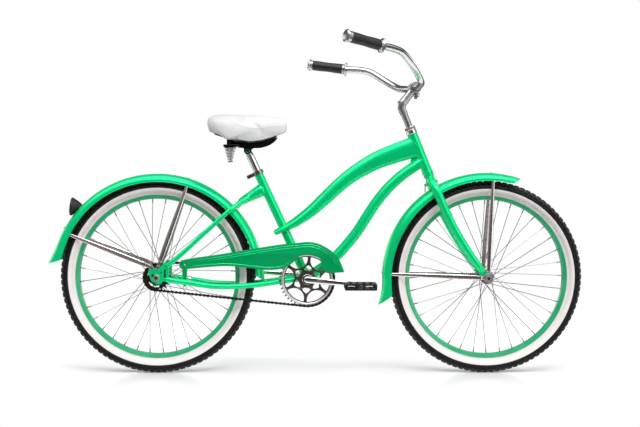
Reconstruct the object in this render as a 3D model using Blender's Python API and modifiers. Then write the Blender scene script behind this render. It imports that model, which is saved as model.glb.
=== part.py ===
"""A 24 inch cruiser bicycle with a coaster brake: X forward, Y to the left, Z up, metres.

The origin is the ground point under the rear axle. The right side, which carries the chain, is at -Y.
"""

import math

import bmesh
import bpy
from mathutils import Matrix, Vector

# Clearances
GAP = 0.0003
RUNNING_GAP = 0.0005

# Wheels
TYRE_RADIUS = 0.3075
TYRE_WIDTH = 0.054
RIM_RADIUS = 0.2595
RIM_DEPTH = 0.013
RIM_WIDTH = 0.032
WHEEL_STEPS = 44
SPOKE_COUNT = 36
SPOKE_RADIUS = 0.0013
SPOKE_CROSS_ANGLE = math.radians(60)
FLANGE_THICKNESS = 0.0034

# Frame
WHEELBASE = 1.048
BRACKET_REACH = 0.4745
BRACKET_DROP = 0.0055
SEAT_LEAN = math.radians(25.03)
SEAT_TUBE_LENGTH = 0.3774
SEAT_TUBE_RADIUS = 0.0143
HEAD_LEAN = math.radians(22.4)
FORK_OFFSET = 0.0515
FORK_RISE = 0.3385
HEAD_TUBE_LENGTH = 0.128
HEAD_TUBE_RADIUS = 0.0165
HEAD_TUBE_WALL = 0.0017
DOWN_TUBE_RADIUS = 0.0172
CHAINSTAY_RADIUS = 0.0085
SEAT_STAY_RADIUS = 0.0075
SHELL_RADIUS = 0.029
SHELL_WALL = 0.0033
SHELL_HALF_WIDTH = 0.034
DROPOUT_THICKNESS = 0.005
REAR_HUB_WIDTH = 0.1106
FRONT_HUB_WIDTH = 0.100
AXLE_RADIUS = 0.0048
CONE_LENGTH = 0.0048

# Steering
STEERER_RADIUS = 0.0127
QUILL_RADIUS = 0.0110
FORK_LEG_RADIUS = 0.0130
FORK_SPREAD = 0.0525
FORK_TIP_THICKNESS = 0.005
STEM_TURN = math.radians(8.4)
STEM_HEIGHT = 0.2240
STEM_REACH = Vector((0.0445, 0.0, 0.0575))
BAR_RADIUS = 0.0111
GRIP_RADIUS = 0.0165
GRIP_LENGTH = 0.104
CAP_RADIUS = 0.0195
COLLAR_RADIUS = 0.0225

# Drive
CHAIN_PITCH = 0.0127
CHAINRING_TEETH = 42
SPROCKET_TEETH = 20
CHAIN_LINE = 0.0455
CHAIN_WIDTH = 0.0078
TOOTH_THICKNESS = 0.0024
CRANK_LENGTH = 0.1655
CRANK_OUT = 0.0700
CRANK_DROOP = math.radians(5.2)
SPINDLE_RADIUS = 0.0105
PEDAL_LENGTH = 0.100
PEDAL_WIDTH = 0.068
PEDAL_HEIGHT = 0.021
PEDAL_SPINDLE_RADIUS = 0.0048
LEFT_PEDAL_TILT = math.radians(60)

# Fenders
SHEET = 0.0012
FENDER_HALF_WIDTH = 0.035
FENDER_DEPTH = 0.030
FRONT_FENDER_RADIUS = 0.333
REAR_FENDER_RADIUS = 0.3385
REAR_FENDER_DROP = 0.012
FENDER_STEPS = 18
REAR_SPAN = (math.radians(2.9), math.radians(168.1))
REAR_TIPS = (math.radians(3.0), math.radians(3.3))
REAR_FLARE = 0.007
FRONT_SPAN = (math.radians(74.4), math.radians(191.4))
FRONT_TIPS = (math.radians(3.2), math.radians(3.2))
FRONT_FLARE = 0.013
STAY_WIDTH = 0.0155
STAY_THICKNESS = 0.0042
STAY_EYE = 0.0016

# Saddle
POST_RADIUS = 0.0127
POST_EXPOSED = 0.071
POST_INSERTED = 0.110
SADDLE_HALF_WIDTH = 0.100
SADDLE_RISE = 0.1095
SPRING_TURNS = 6
SPRING_WIRE_RADIUS = 0.0013
SPRING_WIDE_RADIUS = 0.0165
SPRING_NARROW_RADIUS = 0.0048
SPRING_LENGTH = 0.041

# Places worked out from the sizes above
AXLE_HEIGHT = TYRE_RADIUS * math.cos(math.pi / WHEEL_STEPS)
REAR_AXLE = Vector((0.0, 0.0, AXLE_HEIGHT))
FRONT_AXLE = Vector((WHEELBASE, 0.0, AXLE_HEIGHT))
BRACKET = Vector((BRACKET_REACH, 0.0, AXLE_HEIGHT - BRACKET_DROP))
SEAT_UP = Vector((-math.sin(SEAT_LEAN), 0.0, math.cos(SEAT_LEAN)))
SEAT_TOP = BRACKET + SEAT_UP * SEAT_TUBE_LENGTH
STEER_UP = Vector((-math.sin(HEAD_LEAN), 0.0, math.cos(HEAD_LEAN)))
STEER_FORWARD = Vector((math.cos(HEAD_LEAN), 0.0, math.sin(HEAD_LEAN)))
HEAD_LOW = Vector((
    WHEELBASE - FORK_OFFSET - FORK_RISE * math.tan(HEAD_LEAN),
    0.0,
    AXLE_HEIGHT + FORK_RISE,
))
LEFT = Vector((0.0, 1.0, 0.0))
CRANK_AHEAD = Vector((math.cos(CRANK_DROOP), 0.0, -math.sin(CRANK_DROOP)))
CHAINRING_PITCH_RADIUS = CHAIN_PITCH / (2 * math.sin(math.pi / CHAINRING_TEETH))
SPROCKET_PITCH_RADIUS = CHAIN_PITCH / (2 * math.sin(math.pi / SPROCKET_TEETH))
CHAIN_PLATE_HALF_HEIGHT = 0.0042
DROPOUT_INNER = REAR_HUB_WIDTH / 2
DROPOUT_MIDDLE = DROPOUT_INNER + DROPOUT_THICKNESS / 2
GUARD_PLANE = CHAIN_LINE + 0.0085

for old in list(bpy.data.objects):
    bpy.data.objects.remove(old, do_unlink=True)

PARTS = bpy.data.collections.new("bicycle")
CUTTERS = bpy.data.collections.new("cutters")
for group in (PARTS, CUTTERS):
    bpy.context.scene.collection.children.link(group)


# Materials

def finish(name, colour, roughness, metallic=0.0):
    """A material of one colour."""
    made = bpy.data.materials.new(name)
    made.use_nodes = True
    shader = made.node_tree.nodes["Principled BSDF"]
    shader.inputs["Base Color"].default_value = (*colour, 1.0)
    shader.inputs["Roughness"].default_value = roughness
    shader.inputs["Metallic"].default_value = metallic
    return made


GREEN = finish("green_paint", (0.0, 0.50, 0.19), 0.25)
RIM_GREEN = finish("rim_paint", (0.03, 0.35, 0.17), 0.35)
CHROME = finish("chrome", (0.80, 0.78, 0.79), 0.10, 1.0)
STEEL = finish("dark_steel", (0.16, 0.15, 0.15), 0.40, 1.0)
SPOKE_STEEL = finish("spoke_steel", (0.60, 0.60, 0.60), 0.30, 1.0)
RUBBER = finish("tyre_rubber", (0.015, 0.015, 0.017), 0.80)
GRIP_RUBBER = finish("grip_rubber", (0.02, 0.02, 0.022), 0.60)
BLACK_PLASTIC = finish("black_plastic", (0.02, 0.02, 0.022), 0.45)
BLACK_METAL = finish("black_metal", (0.018, 0.016, 0.017), 0.35, 1.0)
VINYL = finish("white_vinyl", (0.86, 0.85, 0.83), 0.45)
RED_LENS = finish("red_lens", (0.60, 0.01, 0.01), 0.15)


# Geometry

def add(name, mesh, material=None):
    """A new object that holds a mesh: a part if it has a material, and otherwise a cutter."""
    made = bpy.data.objects.new(name, mesh)
    if material is None:
        CUTTERS.objects.link(made)
        made.hide_render = True
        made.display_type = "WIRE"
    else:
        PARTS.objects.link(made)
        mesh.materials.append(material)
        mesh.shade_smooth()
        mesh.set_sharp_from_angle(angle=math.radians(35))
    return made


def aim(axis, side=None):
    """The rotation that turns +Z to axis, and +X as near to side as it can."""
    up = Vector(axis).normalized()
    side = Vector(side) if side is not None else Vector((1.0, 0.0, 0.0))
    if abs(up.dot(side.normalized())) > 0.99:
        side = Vector((0.0, 0.0, 1.0))
    across = up.cross(side).normalized()
    return Matrix((across.cross(up), across, up)).transposed().to_4x4()


def place(item, origin, axis, side=None):
    """Puts an object's own +Z along axis at origin."""
    item.matrix_world = Matrix.Translation(Vector(origin)) @ aim(axis, side)
    return item


def profile_mesh(name, points, closed):
    """A mesh of edges through (radius, height) points in the XZ plane."""
    mesh = bpy.data.meshes.new(name)
    edges = [(i, i + 1) for i in range(len(points) - 1)]
    if closed:
        edges.append((len(points) - 1, 0))
    mesh.from_pydata([(radius, 0.0, height) for radius, height in points], edges, [])
    return mesh


def turned(name, points, origin, axis, material=None, steps=16, closed=False, start=0.0):
    """A profile turned about an axis. It runs down its outer side, and closed makes a ring of it."""
    item = add(name, profile_mesh(name, points, closed), material)
    screw = item.modifiers.new("turn", "SCREW")
    screw.steps = screw.render_steps = steps
    screw.use_merge_vertices = True
    screw.merge_threshold = 0.00001
    place(item, origin, axis)
    item.matrix_world = item.matrix_world @ Matrix.Rotation(start, 4, "Z")
    return item


def rod(name, start, end, radius, material=None, sides=16):
    """A plain cylinder between two points."""
    start, end = Vector(start), Vector(end)
    shape = bmesh.new()
    bmesh.ops.create_cone(shape, cap_ends=True, segments=sides, radius1=radius, radius2=radius,
                          depth=(end - start).length)
    mesh = bpy.data.meshes.new(name)
    shape.to_mesh(mesh)
    shape.free()
    return place(add(name, mesh, material), (start + end) / 2, end - start)


def block(name, size, matrix, material=None):
    """A box with its size along its own axes, put at a matrix."""
    shape = bmesh.new()
    bmesh.ops.create_cube(shape, size=1.0)
    bmesh.ops.scale(shape, vec=Vector(size), verts=shape.verts)
    mesh = bpy.data.meshes.new(name)
    shape.to_mesh(mesh)
    shape.free()
    item = add(name, mesh, material)
    item.matrix_world = matrix
    return item


def as_mesh(curve, name, material):
    """Turns a curve object into a mesh object with welded caps."""
    bpy.context.view_layer.update()
    evaluated = curve.evaluated_get(bpy.context.evaluated_depsgraph_get())
    mesh = bpy.data.meshes.new_from_object(evaluated)
    mesh.name = name
    mesh.materials.clear()
    shape = bmesh.new()
    shape.from_mesh(mesh)
    bmesh.ops.remove_doubles(shape, verts=shape.verts, dist=0.00001)
    shape.to_mesh(mesh)
    shape.free()
    place_was = curve.matrix_world.copy()
    bpy.data.objects.remove(curve, do_unlink=True)
    item = add(name, mesh, material)
    item.matrix_world = place_was
    return item


def tube(name, points, radius, material=None, radii=None, roundness=3):
    """A tube along points, with a radius factor for each if radii is given."""
    curve = bpy.data.curves.new(name, "CURVE")
    curve.dimensions = "3D"
    curve.bevel_depth = radius
    curve.bevel_resolution = roundness
    curve.use_fill_caps = True
    spline = curve.splines.new("POLY")
    spline.points.add(len(points) - 1)
    for index, (point, at) in enumerate(zip(spline.points, points)):
        point.co = (*at, 1.0)
        point.radius = radii[index] if radii else 1.0
    item = bpy.data.objects.new(name, curve)
    CUTTERS.objects.link(item)
    return as_mesh(item, name, material)


def plate(name, outlines, thickness, origin, axis, side, material=None):
    """A flat plate: the first outline is its edge and the others are its holes. It lies half each side."""
    curve = bpy.data.curves.new(name, "CURVE")
    curve.dimensions = "2D"
    curve.fill_mode = "BOTH"
    curve.extrude = thickness / 2
    for outline in outlines:
        spline = curve.splines.new("POLY")
        spline.points.add(len(outline) - 1)
        for point, (x, y) in zip(spline.points, outline):
            point.co = (x, y, 0.0, 1.0)
        spline.use_cyclic_u = True
    item = bpy.data.objects.new(name, curve)
    CUTTERS.objects.link(item)
    place(item, origin, axis, side)
    return as_mesh(item, name, material)


def side_plate(name, outlines, thickness, y, material=None):
    """A plate in a plane of constant y, with outlines in world (x, z)."""
    flipped = [[(x, -z) for x, z in outline] for outline in outlines]
    return plate(name, flipped, thickness, (0.0, y, 0.0), LEFT, (1.0, 0.0, 0.0), material)


def loft(name, rings, material=None):
    """A closed skin over rings that have the same number of points, from first to last."""
    shape = bmesh.new()
    rows = [[shape.verts.new(point) for point in ring] for ring in rings]
    count = len(rows[0])
    for row, after in zip(rows, rows[1:]):
        for i in range(count):
            j = (i + 1) % count
            shape.faces.new((row[i], row[j], after[j], after[i]))
    shape.faces.new(reversed(rows[0]))
    shape.faces.new(rows[-1])
    bmesh.ops.recalc_face_normals(shape, faces=shape.faces)
    mesh = bpy.data.meshes.new(name)
    shape.to_mesh(mesh)
    shape.free()
    return add(name, mesh, material)


def oval_ring(centre, along, across, half_width, half_height, count=12):
    """An oval of points round centre, square to along, with its width along across."""
    along = Vector(along).normalized()
    across = Vector(across)
    across = (across - along * across.dot(along)).normalized()
    over = along.cross(across)
    ring = []
    for i in range(count):
        angle = 2 * math.pi * (i + 0.5) / count
        aside = across * half_width * math.cos(angle)
        ring.append(Vector(centre) + aside + over * half_height * math.sin(angle))
    return ring


def smooth_route(points, steps):
    """A smooth curve through points, sampled steps times between each pair."""
    points = [Vector(point) for point in points]
    padded = [points[0] * 2 - points[1], *points, points[-1] * 2 - points[-2]]
    route = []
    for a, b, c, d in zip(padded, padded[1:], padded[2:], padded[3:]):
        for step in range(steps):
            t = step / steps
            route.append(0.5 * (b * 2 + (c - a) * t + (a * 2 - b * 5 + c * 4 - d) * t * t
                                + (b * 3 - a - c * 3 + d) * t * t * t))
    route.append(points[-1])
    return route


def along_table(table, at):
    """The value at a place in a table of (place, value) pairs, in straight steps."""
    for (x0, v0), (x1, v1) in zip(table, table[1:]):
        if at <= x1:
            return v0 + (v1 - v0) * max(at - x0, 0.0) / (x1 - x0)
    return table[-1][1]


def combine(item, others, operation):
    """Adds one Boolean modifier to item for each of the others."""
    for other in others:
        modifier = item.modifiers.new(operation.lower(), "BOOLEAN")
        modifier.operation = operation
        modifier.solver = "EXACT"
        modifier.object = other
    return item


def join(item, *others):
    """Makes one body of item and the others."""
    return combine(item, others, "UNION")


def cut(item, *others):
    """Takes the others away from item."""
    return combine(item, others, "DIFFERENCE")


def steering(up, ahead=0.0, left=0.0):
    """A point up the steering axis from the head tube's lower end, ahead of it and to the left."""
    return HEAD_LOW + STEER_UP * up + STEER_FORWARD * ahead + LEFT * left


def seat_line(up, ahead=0.0, left=0.0):
    """A point up the seat tube's axis from its top, ahead of it and to the left."""
    forward = Vector((SEAT_UP.z, 0.0, -SEAT_UP.x))
    return SEAT_TOP + SEAT_UP * up + forward * ahead + LEFT * left


def circle(radius, count, x=0.0, y=0.0, start=0.0):
    """Points round a circle."""
    return [(x + radius * math.cos(start + 2 * math.pi * i / count),
             y + radius * math.sin(start + 2 * math.pi * i / count)) for i in range(count)]


def around(radius, sides):
    """The radius of a hole with this many sides that goes round a radius with a clearance."""
    return (radius + GAP) / math.cos(math.pi / sides)


def grow(outline, distance):
    """An outline moved out by a distance, for a plate's clearance."""
    area = sum(x0 * y1 - x1 * y0 for (x0, y0), (x1, y1) in zip(outline, outline[1:] + outline[:1]))
    turn = 1.0 if area > 0 else -1.0
    grown = []
    for before, here, after in zip(outline[-1:] + outline[:-1], outline, outline[1:] + outline[:1]):
        first = (Vector(here) - Vector(before)).normalized()
        second = (Vector(after) - Vector(here)).normalized()
        normals = [Vector((edge.y, -edge.x)) * turn for edge in (first, second)]
        middle = (normals[0] + normals[1]).normalized()
        moved = Vector(here) + middle * distance / max(middle.dot(normals[0]), 0.4)
        grown.append((moved.x, moved.y))
    return grown


# Frame

TOP_TUBE = (
    # share of the way from the bracket to the head tube, z of the centre line, height square to it, width
    (-0.2628, 0.4470, 0.0190, 0.0520),
    (-0.1948, 0.4600, 0.0230, 0.0540),
    (-0.0980, 0.4795, 0.0310, 0.0510),
    (0.0275, 0.5140, 0.0375, 0.0460),
    (0.1516, 0.5570, 0.0425, 0.0420),
    (0.2771, 0.6020, 0.0455, 0.0400),
    (0.4013, 0.6388, 0.0490, 0.0380),
    (0.5687, 0.6757, 0.0560, 0.0360),
    (0.7334, 0.7008, 0.0620, 0.0340),
    (0.9072, 0.7230, 0.0670, 0.0320),
)
DOWN_TUBE = (
    # share of the way from the bracket to the head tube, z of the centre line
    (0.0000, 0.3020), (0.1268, 0.3340), (0.2588, 0.3770), (0.4026, 0.4418), (0.4876, 0.4921),
    (0.5700, 0.5402), (0.6534, 0.5806), (0.7360, 0.6125), (0.8196, 0.6393), (0.9634, 0.6770),
)
CHAINSTAY = (
    # x, y, z of the centre line
    (0.030, 0.0600, 0.3005),
    (0.088, 0.0600, 0.2930),
    (0.136, 0.0580, 0.2855),
    (0.183, 0.0545, 0.2795),
    (0.246, 0.0480, 0.2785),
    (0.309, 0.0405, 0.2825),
    (0.357, 0.0345, 0.2885),
    (0.400, 0.0310, 0.2950),
    (0.455, 0.0290, 0.3015),
)
SEAT_STAY = ((0.296, 0.006, 0.5655), (0.268, 0.024, 0.5480), (0.2440, 0.0405, 0.5300),
             (0.2139, 0.0475, 0.5050), (0.1351, 0.0540, 0.4330), (0.0877, 0.0585, 0.3890),
             (0.0330, 0.0600, 0.3420))
YOKE_ROOT = Vector((0.336, 0.0, 0.5860))
YOKE_END = Vector((0.262, 0.0, 0.5440))
DROPOUT = ((-0.0262, 0.3250), (-0.0235, 0.3330), (-0.0215, 0.3450), (-0.0130, 0.3480), (0.0080, 0.3480),
           (0.0180, 0.3530), (0.0240, 0.3570), (0.0400, 0.3450), (0.0455, 0.3250), (0.0455, 0.2990),
           (0.0210, 0.2960), (0.0130, 0.2860), (-0.0010, 0.2870), (-0.0170, 0.2980))
BRIDGE_RADIUS = 0.007
BRIDGE_HEIGHT = 0.2870
BRIDGE_EAR = (0.0025, 0.0150, 0.0200)


def bracket_space():
    """The bottom bracket shell's outside with its clearance."""
    return rod("bracket_space", BRACKET - LEFT * 0.08, BRACKET + LEFT * 0.08, SHELL_RADIUS + GAP)


def head_space():
    """The head tube's outside with its clearance."""
    return rod("head_space", steering(-0.02), steering(HEAD_TUBE_LENGTH + 0.02), HEAD_TUBE_RADIUS + GAP)


def seat_space():
    """The seat tube's outside with its clearance."""
    return rod("seat_space", BRACKET, SEAT_TOP + SEAT_UP * 0.02, SEAT_TUBE_RADIUS + GAP)


def dropout_space():
    """Both dropouts with their clearance."""
    spaces = []
    for side in (-1, 1):
        outline = grow(list(DROPOUT), GAP)
        thickness = DROPOUT_THICKNESS + 2 * GAP
        spaces.append(side_plate("dropout_space", [outline], thickness, side * DROPOUT_MIDDLE))
    return spaces


def tube_reach(share):
    """The x at a share of the way from the bottom bracket to the head tube's lower end."""
    return BRACKET.x + (HEAD_LOW.x - BRACKET.x) * share


def head_tube():
    bore = HEAD_TUBE_RADIUS - HEAD_TUBE_WALL
    top = HEAD_TUBE_LENGTH
    points = [(HEAD_TUBE_RADIUS, top), (HEAD_TUBE_RADIUS, 0.0), (bore, 0.0), (bore, top)]
    turned("head_tube", points, HEAD_LOW, STEER_UP, GREEN, closed=True)


def headset_cups():
    """The pressed cups at both ends of the head tube."""
    lip = HEAD_TUBE_RADIUS - HEAD_TUBE_WALL - GAP
    bore = STEERER_RADIUS + RUNNING_GAP
    outer = 0.0180
    upper = [(0.0160, 0.0100), (outer, 0.0080), (outer, GAP), (lip, GAP), (lip, -0.008), (bore, -0.008),
             (bore, 0.010)]
    turned("headset_upper_cup", upper, steering(HEAD_TUBE_LENGTH), STEER_UP, CHROME, closed=True)
    lower = [(bore, 0.008), (lip, 0.008), (lip, -GAP), (outer, -GAP), (outer, -0.009), (0.0168, -0.012),
             (bore, -0.012)]
    turned("headset_lower_cup", lower, HEAD_LOW, STEER_UP, GREEN, closed=True)


def bracket_shell():
    bore = SHELL_RADIUS - SHELL_WALL
    half = SHELL_HALF_WIDTH
    points = [(SHELL_RADIUS, half), (SHELL_RADIUS, -half), (bore, -half), (bore, half)]
    turned("bottom_bracket_shell", points, BRACKET, LEFT, GREEN, closed=True)


def bracket_cups():
    """The pressed cups that the crank's spindle turns in."""
    lip = SHELL_RADIUS - SHELL_WALL - GAP
    bore = SPINDLE_RADIUS + 0.0009
    points = [(0.0220, 0.0048), (0.0270, 0.0030), (0.0270, GAP), (lip, GAP), (lip, -0.009), (bore, -0.009),
              (bore, 0.0048)]
    for name, side in (("bottom_bracket_cup_right", -1), ("bottom_bracket_cup_left", 1)):
        turned(name, points, BRACKET + LEFT * side * SHELL_HALF_WIDTH, LEFT * side, STEEL, closed=True)


def seat_tube():
    bore = POST_RADIUS + GAP
    top = SEAT_TUBE_LENGTH
    points = [(SEAT_TUBE_RADIUS, top), (SEAT_TUBE_RADIUS, 0.0), (bore, 0.0), (bore, top)]
    cut(turned("seat_tube", points, BRACKET, SEAT_UP, GREEN, closed=True), bracket_space())


def top_tube():
    """Tall and narrow at the head tube, low and wide where the seat tube passes through it."""
    rings = []
    count = 12
    for index, (share, z, height, width) in enumerate(TOP_TUBE):
        x = tube_reach(share)
        before = TOP_TUBE[max(index - 1, 0)]
        after = TOP_TUBE[min(index + 1, len(TOP_TUBE) - 1)]
        run = tube_reach(after[0]) - tube_reach(before[0])
        along = Vector((run, 0.0, after[1] - before[1])).normalized()
        if index == 0:
            end = Vector((x, 0.0, z)) - along * 0.004
            rings.append(oval_ring(end, along, LEFT, width * 0.36, height * 0.30, count))
        rings.append(oval_ring((x, 0.0, z), along, LEFT, width / 2, height / 2, count))
    cut(loft("top_tube", rings, GREEN), head_space(), seat_space())


def down_tube():
    route = [(tube_reach(share), 0.0, z) for share, z in DOWN_TUBE]
    narrowed = (HEAD_TUBE_RADIUS - GAP) / DOWN_TUBE_RADIUS
    radii = [1.0] * (len(route) - 2) + [(1.0 + narrowed) / 2, narrowed]
    item = tube("down_tube", route, DOWN_TUBE_RADIUS, GREEN, radii=radii, roundness=4)
    cut(item, head_space(), bracket_space(), seat_space())


def chainstays():
    """Two curved stays; the left one carries the bridge, with an ear that the rear fender is bolted to."""
    for name, side in (("chainstay_right", -1), ("chainstay_left", 1)):
        route = [(x, side * y, z) for x, y, z in CHAINSTAY]
        radii = [0.9] + [1.0] * (len(route) - 1)
        item = tube(name, route, CHAINSTAY_RADIUS, GREEN, radii=radii, roundness=2)
        if side == 1:
            bridge_x, bridge_z, half = bridge()
            start = (bridge_x, -half, bridge_z)
            end = (bridge_x, half + CHAINSTAY_RADIUS, bridge_z)
            ear_x = bridge_x - BRIDGE_RADIUS + BRIDGE_EAR[0] / 2
            ear_at = Vector((ear_x, 0.0, bridge_z + BRIDGE_EAR[2] / 2))
            ear = block("bridge_ear", BRIDGE_EAR, Matrix.Translation(ear_at))
            join(item, rod("bridge_bar", start, end, BRIDGE_RADIUS, sides=12), ear)
        cut(item, bracket_space(), *dropout_space())


def bridge():
    """The chainstay bridge's x and z, just ahead of the rear fender, and half the space between the stays."""
    z = BRIDGE_HEIGHT
    reach = REAR_FENDER_RADIUS + SHEET + GAP + BRIDGE_RADIUS
    x = math.sqrt(reach**2 - (AXLE_HEIGHT - REAR_FENDER_DROP - z)**2)
    centre = along_table([(x, y) for x, y, z in CHAINSTAY], x + BRIDGE_RADIUS)
    return x, z, centre - CHAINSTAY_RADIUS - GAP


def fender_crown(angle):
    """The outer radius of the rear fender's crown at an angle, on its flat between two rows."""
    first, last = (REAR_SPAN[0] - REAR_TIPS[0], REAR_SPAN[1] + REAR_TIPS[1])
    step = (last - first) / FENDER_STEPS
    beside = (angle - first) % step - step / 2
    return (REAR_FENDER_RADIUS + SHEET) * math.cos(step / 2) / math.cos(beside)


def seat_stays():
    """A single cone behind the seat tube that parts into two stays."""
    rings = []
    along = (YOKE_END - YOKE_ROOT).normalized()
    sections = ((0.0, 0.016, 0.0205), (0.35, 0.0165, 0.0175), (0.75, 0.018, 0.0140), (1.0, 0.019, 0.0115))
    for share, width, height in sections:
        rings.append(oval_ring(YOKE_ROOT.lerp(YOKE_END, share), along, LEFT, width, height, 12))
    item = loft("seat_stays", rings, GREEN)
    for side in (-1, 1):
        route = [(x, side * y, z) for x, y, z in SEAT_STAY]
        join(item, tube("stay_arm", route, SEAT_STAY_RADIUS, roundness=2))
    boss_top = YOKE_END + Vector((0.012, 0.0, 0.004))
    boss_way = (REAR_AXLE - Vector((0.0, 0.0, REAR_FENDER_DROP)) - boss_top)
    angle = math.atan2(-boss_way.z, -boss_way.x)
    clear = fender_crown(angle) + GAP
    boss_end = boss_top + boss_way.normalized() * (boss_way.length - clear)
    join(item, rod("fender_boss", boss_top, boss_end, 0.0055, sides=12))
    cut(item, seat_space(), *dropout_space())


def dropouts():
    """Thick plates with a slot for the axle and a lug for the fender stays."""
    slot = [(0.0058, 0.3055), (0.0030, 0.3010), (-0.0030, 0.3020), (-0.0150, 0.3120), (-0.0155, 0.3180),
            (-0.0100, 0.3200), (0.0040, 0.3125)]
    slot = [(x, z - 0.3075 + AXLE_HEIGHT) for x, z in slot]
    for name, side in (("dropout_right", -1), ("dropout_left", 1)):
        side_plate(name, [list(DROPOUT), slot, circle(0.0028, 8, 0.0150, 0.3220)], DROPOUT_THICKNESS,
                   side * DROPOUT_MIDDLE, GREEN)


def seat_clamp():
    """A split collar round the top of the seat tube, with its ears and bolt behind."""
    width = 0.0125
    inner = SEAT_TUBE_RADIUS + GAP
    points = [(inner + 0.003, 0.0), (inner + 0.003, -width), (inner, -width), (inner, 0.0)]
    item = turned("seat_clamp", points, SEAT_TOP, SEAT_UP, STEEL, closed=True)
    turn = Matrix.Translation(seat_line(-width / 2, -0.0275)) @ aim(SEAT_UP, (SEAT_UP.z, 0.0, -SEAT_UP.x))
    ears = block("clamp_ears", (0.0240, 0.0150, width * 0.96), turn)
    bolt_middle = seat_line(-width / 2, -0.0330)
    bolt = rod("clamp_bolt", bolt_middle - LEFT * 0.0125, bolt_middle + LEFT * 0.0125, 0.0045, sides=8)
    join(item, ears, bolt)


head_tube()
headset_cups()
bracket_shell()
bracket_cups()
seat_tube()
top_tube()
down_tube()
chainstays()
seat_stays()
dropouts()
seat_clamp()


# Wheels

def wheel(prefix, axle, flange_radius, flange_places, shell_radius, hub_half_width, start):
    """A tyre, a rim, and a hub with its spokes, all turned about the axle."""
    half = TYRE_WIDTH / 2
    seat = RIM_RADIUS + GAP
    height = TYRE_RADIUS - seat
    side = [(TYRE_RADIUS, 0.42 * half), (seat + 0.55 * height, half), (seat, RIM_WIDTH / 2 - 0.001)]
    points = side + [(radius, -y) for radius, y in reversed(side)]
    facet = math.pi / WHEEL_STEPS
    turned(f"{prefix}_tyre", points[::-1], axle, LEFT, RUBBER, WHEEL_STEPS, True, facet)
    inner = RIM_RADIUS - RIM_DEPTH
    rim_side = [(RIM_RADIUS, RIM_WIDTH / 2), (inner, RIM_WIDTH / 2 - 0.004)]
    rim = [(radius, -y) for radius, y in rim_side] + [(radius, y) for radius, y in reversed(rim_side)]
    turned(f"{prefix}_rim", rim, axle, LEFT, RIM_GREEN, WHEEL_STEPS, True, facet)
    hub(prefix, axle, flange_radius, flange_places, shell_radius, hub_half_width, start)


def hub(prefix, axle, flange_radius, flange_places, shell_radius, half_width, start):
    """A hub shell with two flanges and crossed spokes."""
    right, left = flange_places
    half = FLANGE_THICKNESS / 2
    edge = flange_radius + 0.003
    bore = AXLE_RADIUS + 0.0012
    points = [(bore, half_width), (shell_radius * 0.9, half_width), (edge, left + half), (edge, left - half),
              (shell_radius, left - 0.004), (shell_radius, right + 0.004), (edge, right + half),
              (edge, right - half), (shell_radius * 0.9, -half_width), (bore, -half_width)]
    item = turned(f"{prefix}_hub", points, axle, LEFT, SPOKE_STEEL, 12, True)
    join(item, spokes(prefix, axle, flange_radius, flange_places, start))


def spokes(prefix, axle, flange_radius, flange_places, start):
    """All the spokes of a wheel as one cutter of separate prisms."""
    shape = bmesh.new()
    rim_end = (RIM_RADIUS - RIM_DEPTH) * math.cos(math.pi / WHEEL_STEPS) - 2 * GAP
    for index in range(SPOKE_COUNT):
        side = index % 2
        sense = 1 if (index // 2) % 2 else -1
        rim_angle = start + 2 * math.pi * index / SPOKE_COUNT
        hub_angle = rim_angle + sense * SPOKE_CROSS_ANGLE
        outward = -1 if side == 0 else 1
        offset = sense * outward * (SPOKE_RADIUS + 0.0002)
        near = Vector((flange_radius * math.cos(hub_angle), flange_places[side] + offset,
                       flange_radius * math.sin(hub_angle)))
        far = Vector((rim_end * math.cos(rim_angle), outward * 0.004 + offset, rim_end * math.sin(rim_angle)))
        turn = Matrix.Translation(axle + (near + far) / 2) @ aim(far - near)
        bmesh.ops.create_cone(shape, cap_ends=True, segments=3, radius1=SPOKE_RADIUS, radius2=SPOKE_RADIUS,
                              depth=(far - near).length, matrix=turn)
    mesh = bpy.data.meshes.new(f"{prefix}_spokes")
    shape.to_mesh(mesh)
    shape.free()
    return add(f"{prefix}_spokes", mesh)


def axle_with_nuts(name, axle, cone_face, washer_face, washer_radius, nut_length):
    """An axle with its cones inside the tips, and its washers and nuts outside them."""
    washer_end = washer_face + 0.0014
    end = washer_end + nut_length
    half = [(0.0, end + 0.003), (AXLE_RADIUS, end + 0.003), (AXLE_RADIUS, end), (0.0085, end),
            (0.0085, washer_end), (washer_radius, washer_end), (washer_radius, washer_face),
            (AXLE_RADIUS, washer_face), (AXLE_RADIUS, cone_face), (0.0085, cone_face),
            (0.0085, cone_face - CONE_LENGTH), (AXLE_RADIUS, cone_face - CONE_LENGTH)]
    points = half + [(radius, -along) for radius, along in reversed(half)]
    turned(name, points, axle, LEFT, STEEL, steps=8)


wheel("rear", REAR_AXLE, 0.0250, (-0.0270, 0.0310), 0.0190, 0.0370, math.radians(4))
wheel("front", FRONT_AXLE, 0.0175, (-0.0340, 0.0340), 0.0135, 0.0420, math.radians(1))
REAR_WASHER_FACE = DROPOUT_INNER + DROPOUT_THICKNESS + GAP
axle_with_nuts("rear_axle", REAR_AXLE, DROPOUT_INNER - GAP, REAR_WASHER_FACE, 0.0105, 0.0080)
FRONT_WASHER_FACE = FRONT_HUB_WIDTH / 2 + FORK_TIP_THICKNESS + 2 * (STAY_EYE + GAP) + GAP
axle_with_nuts("front_axle", FRONT_AXLE, FRONT_HUB_WIDTH / 2 - GAP, FRONT_WASHER_FACE, 0.0150, 0.0080)


# Drive

def polar(radius, angle):
    """A flat point at a radius and an angle."""
    return radius * math.cos(angle), radius * math.sin(angle)


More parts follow.
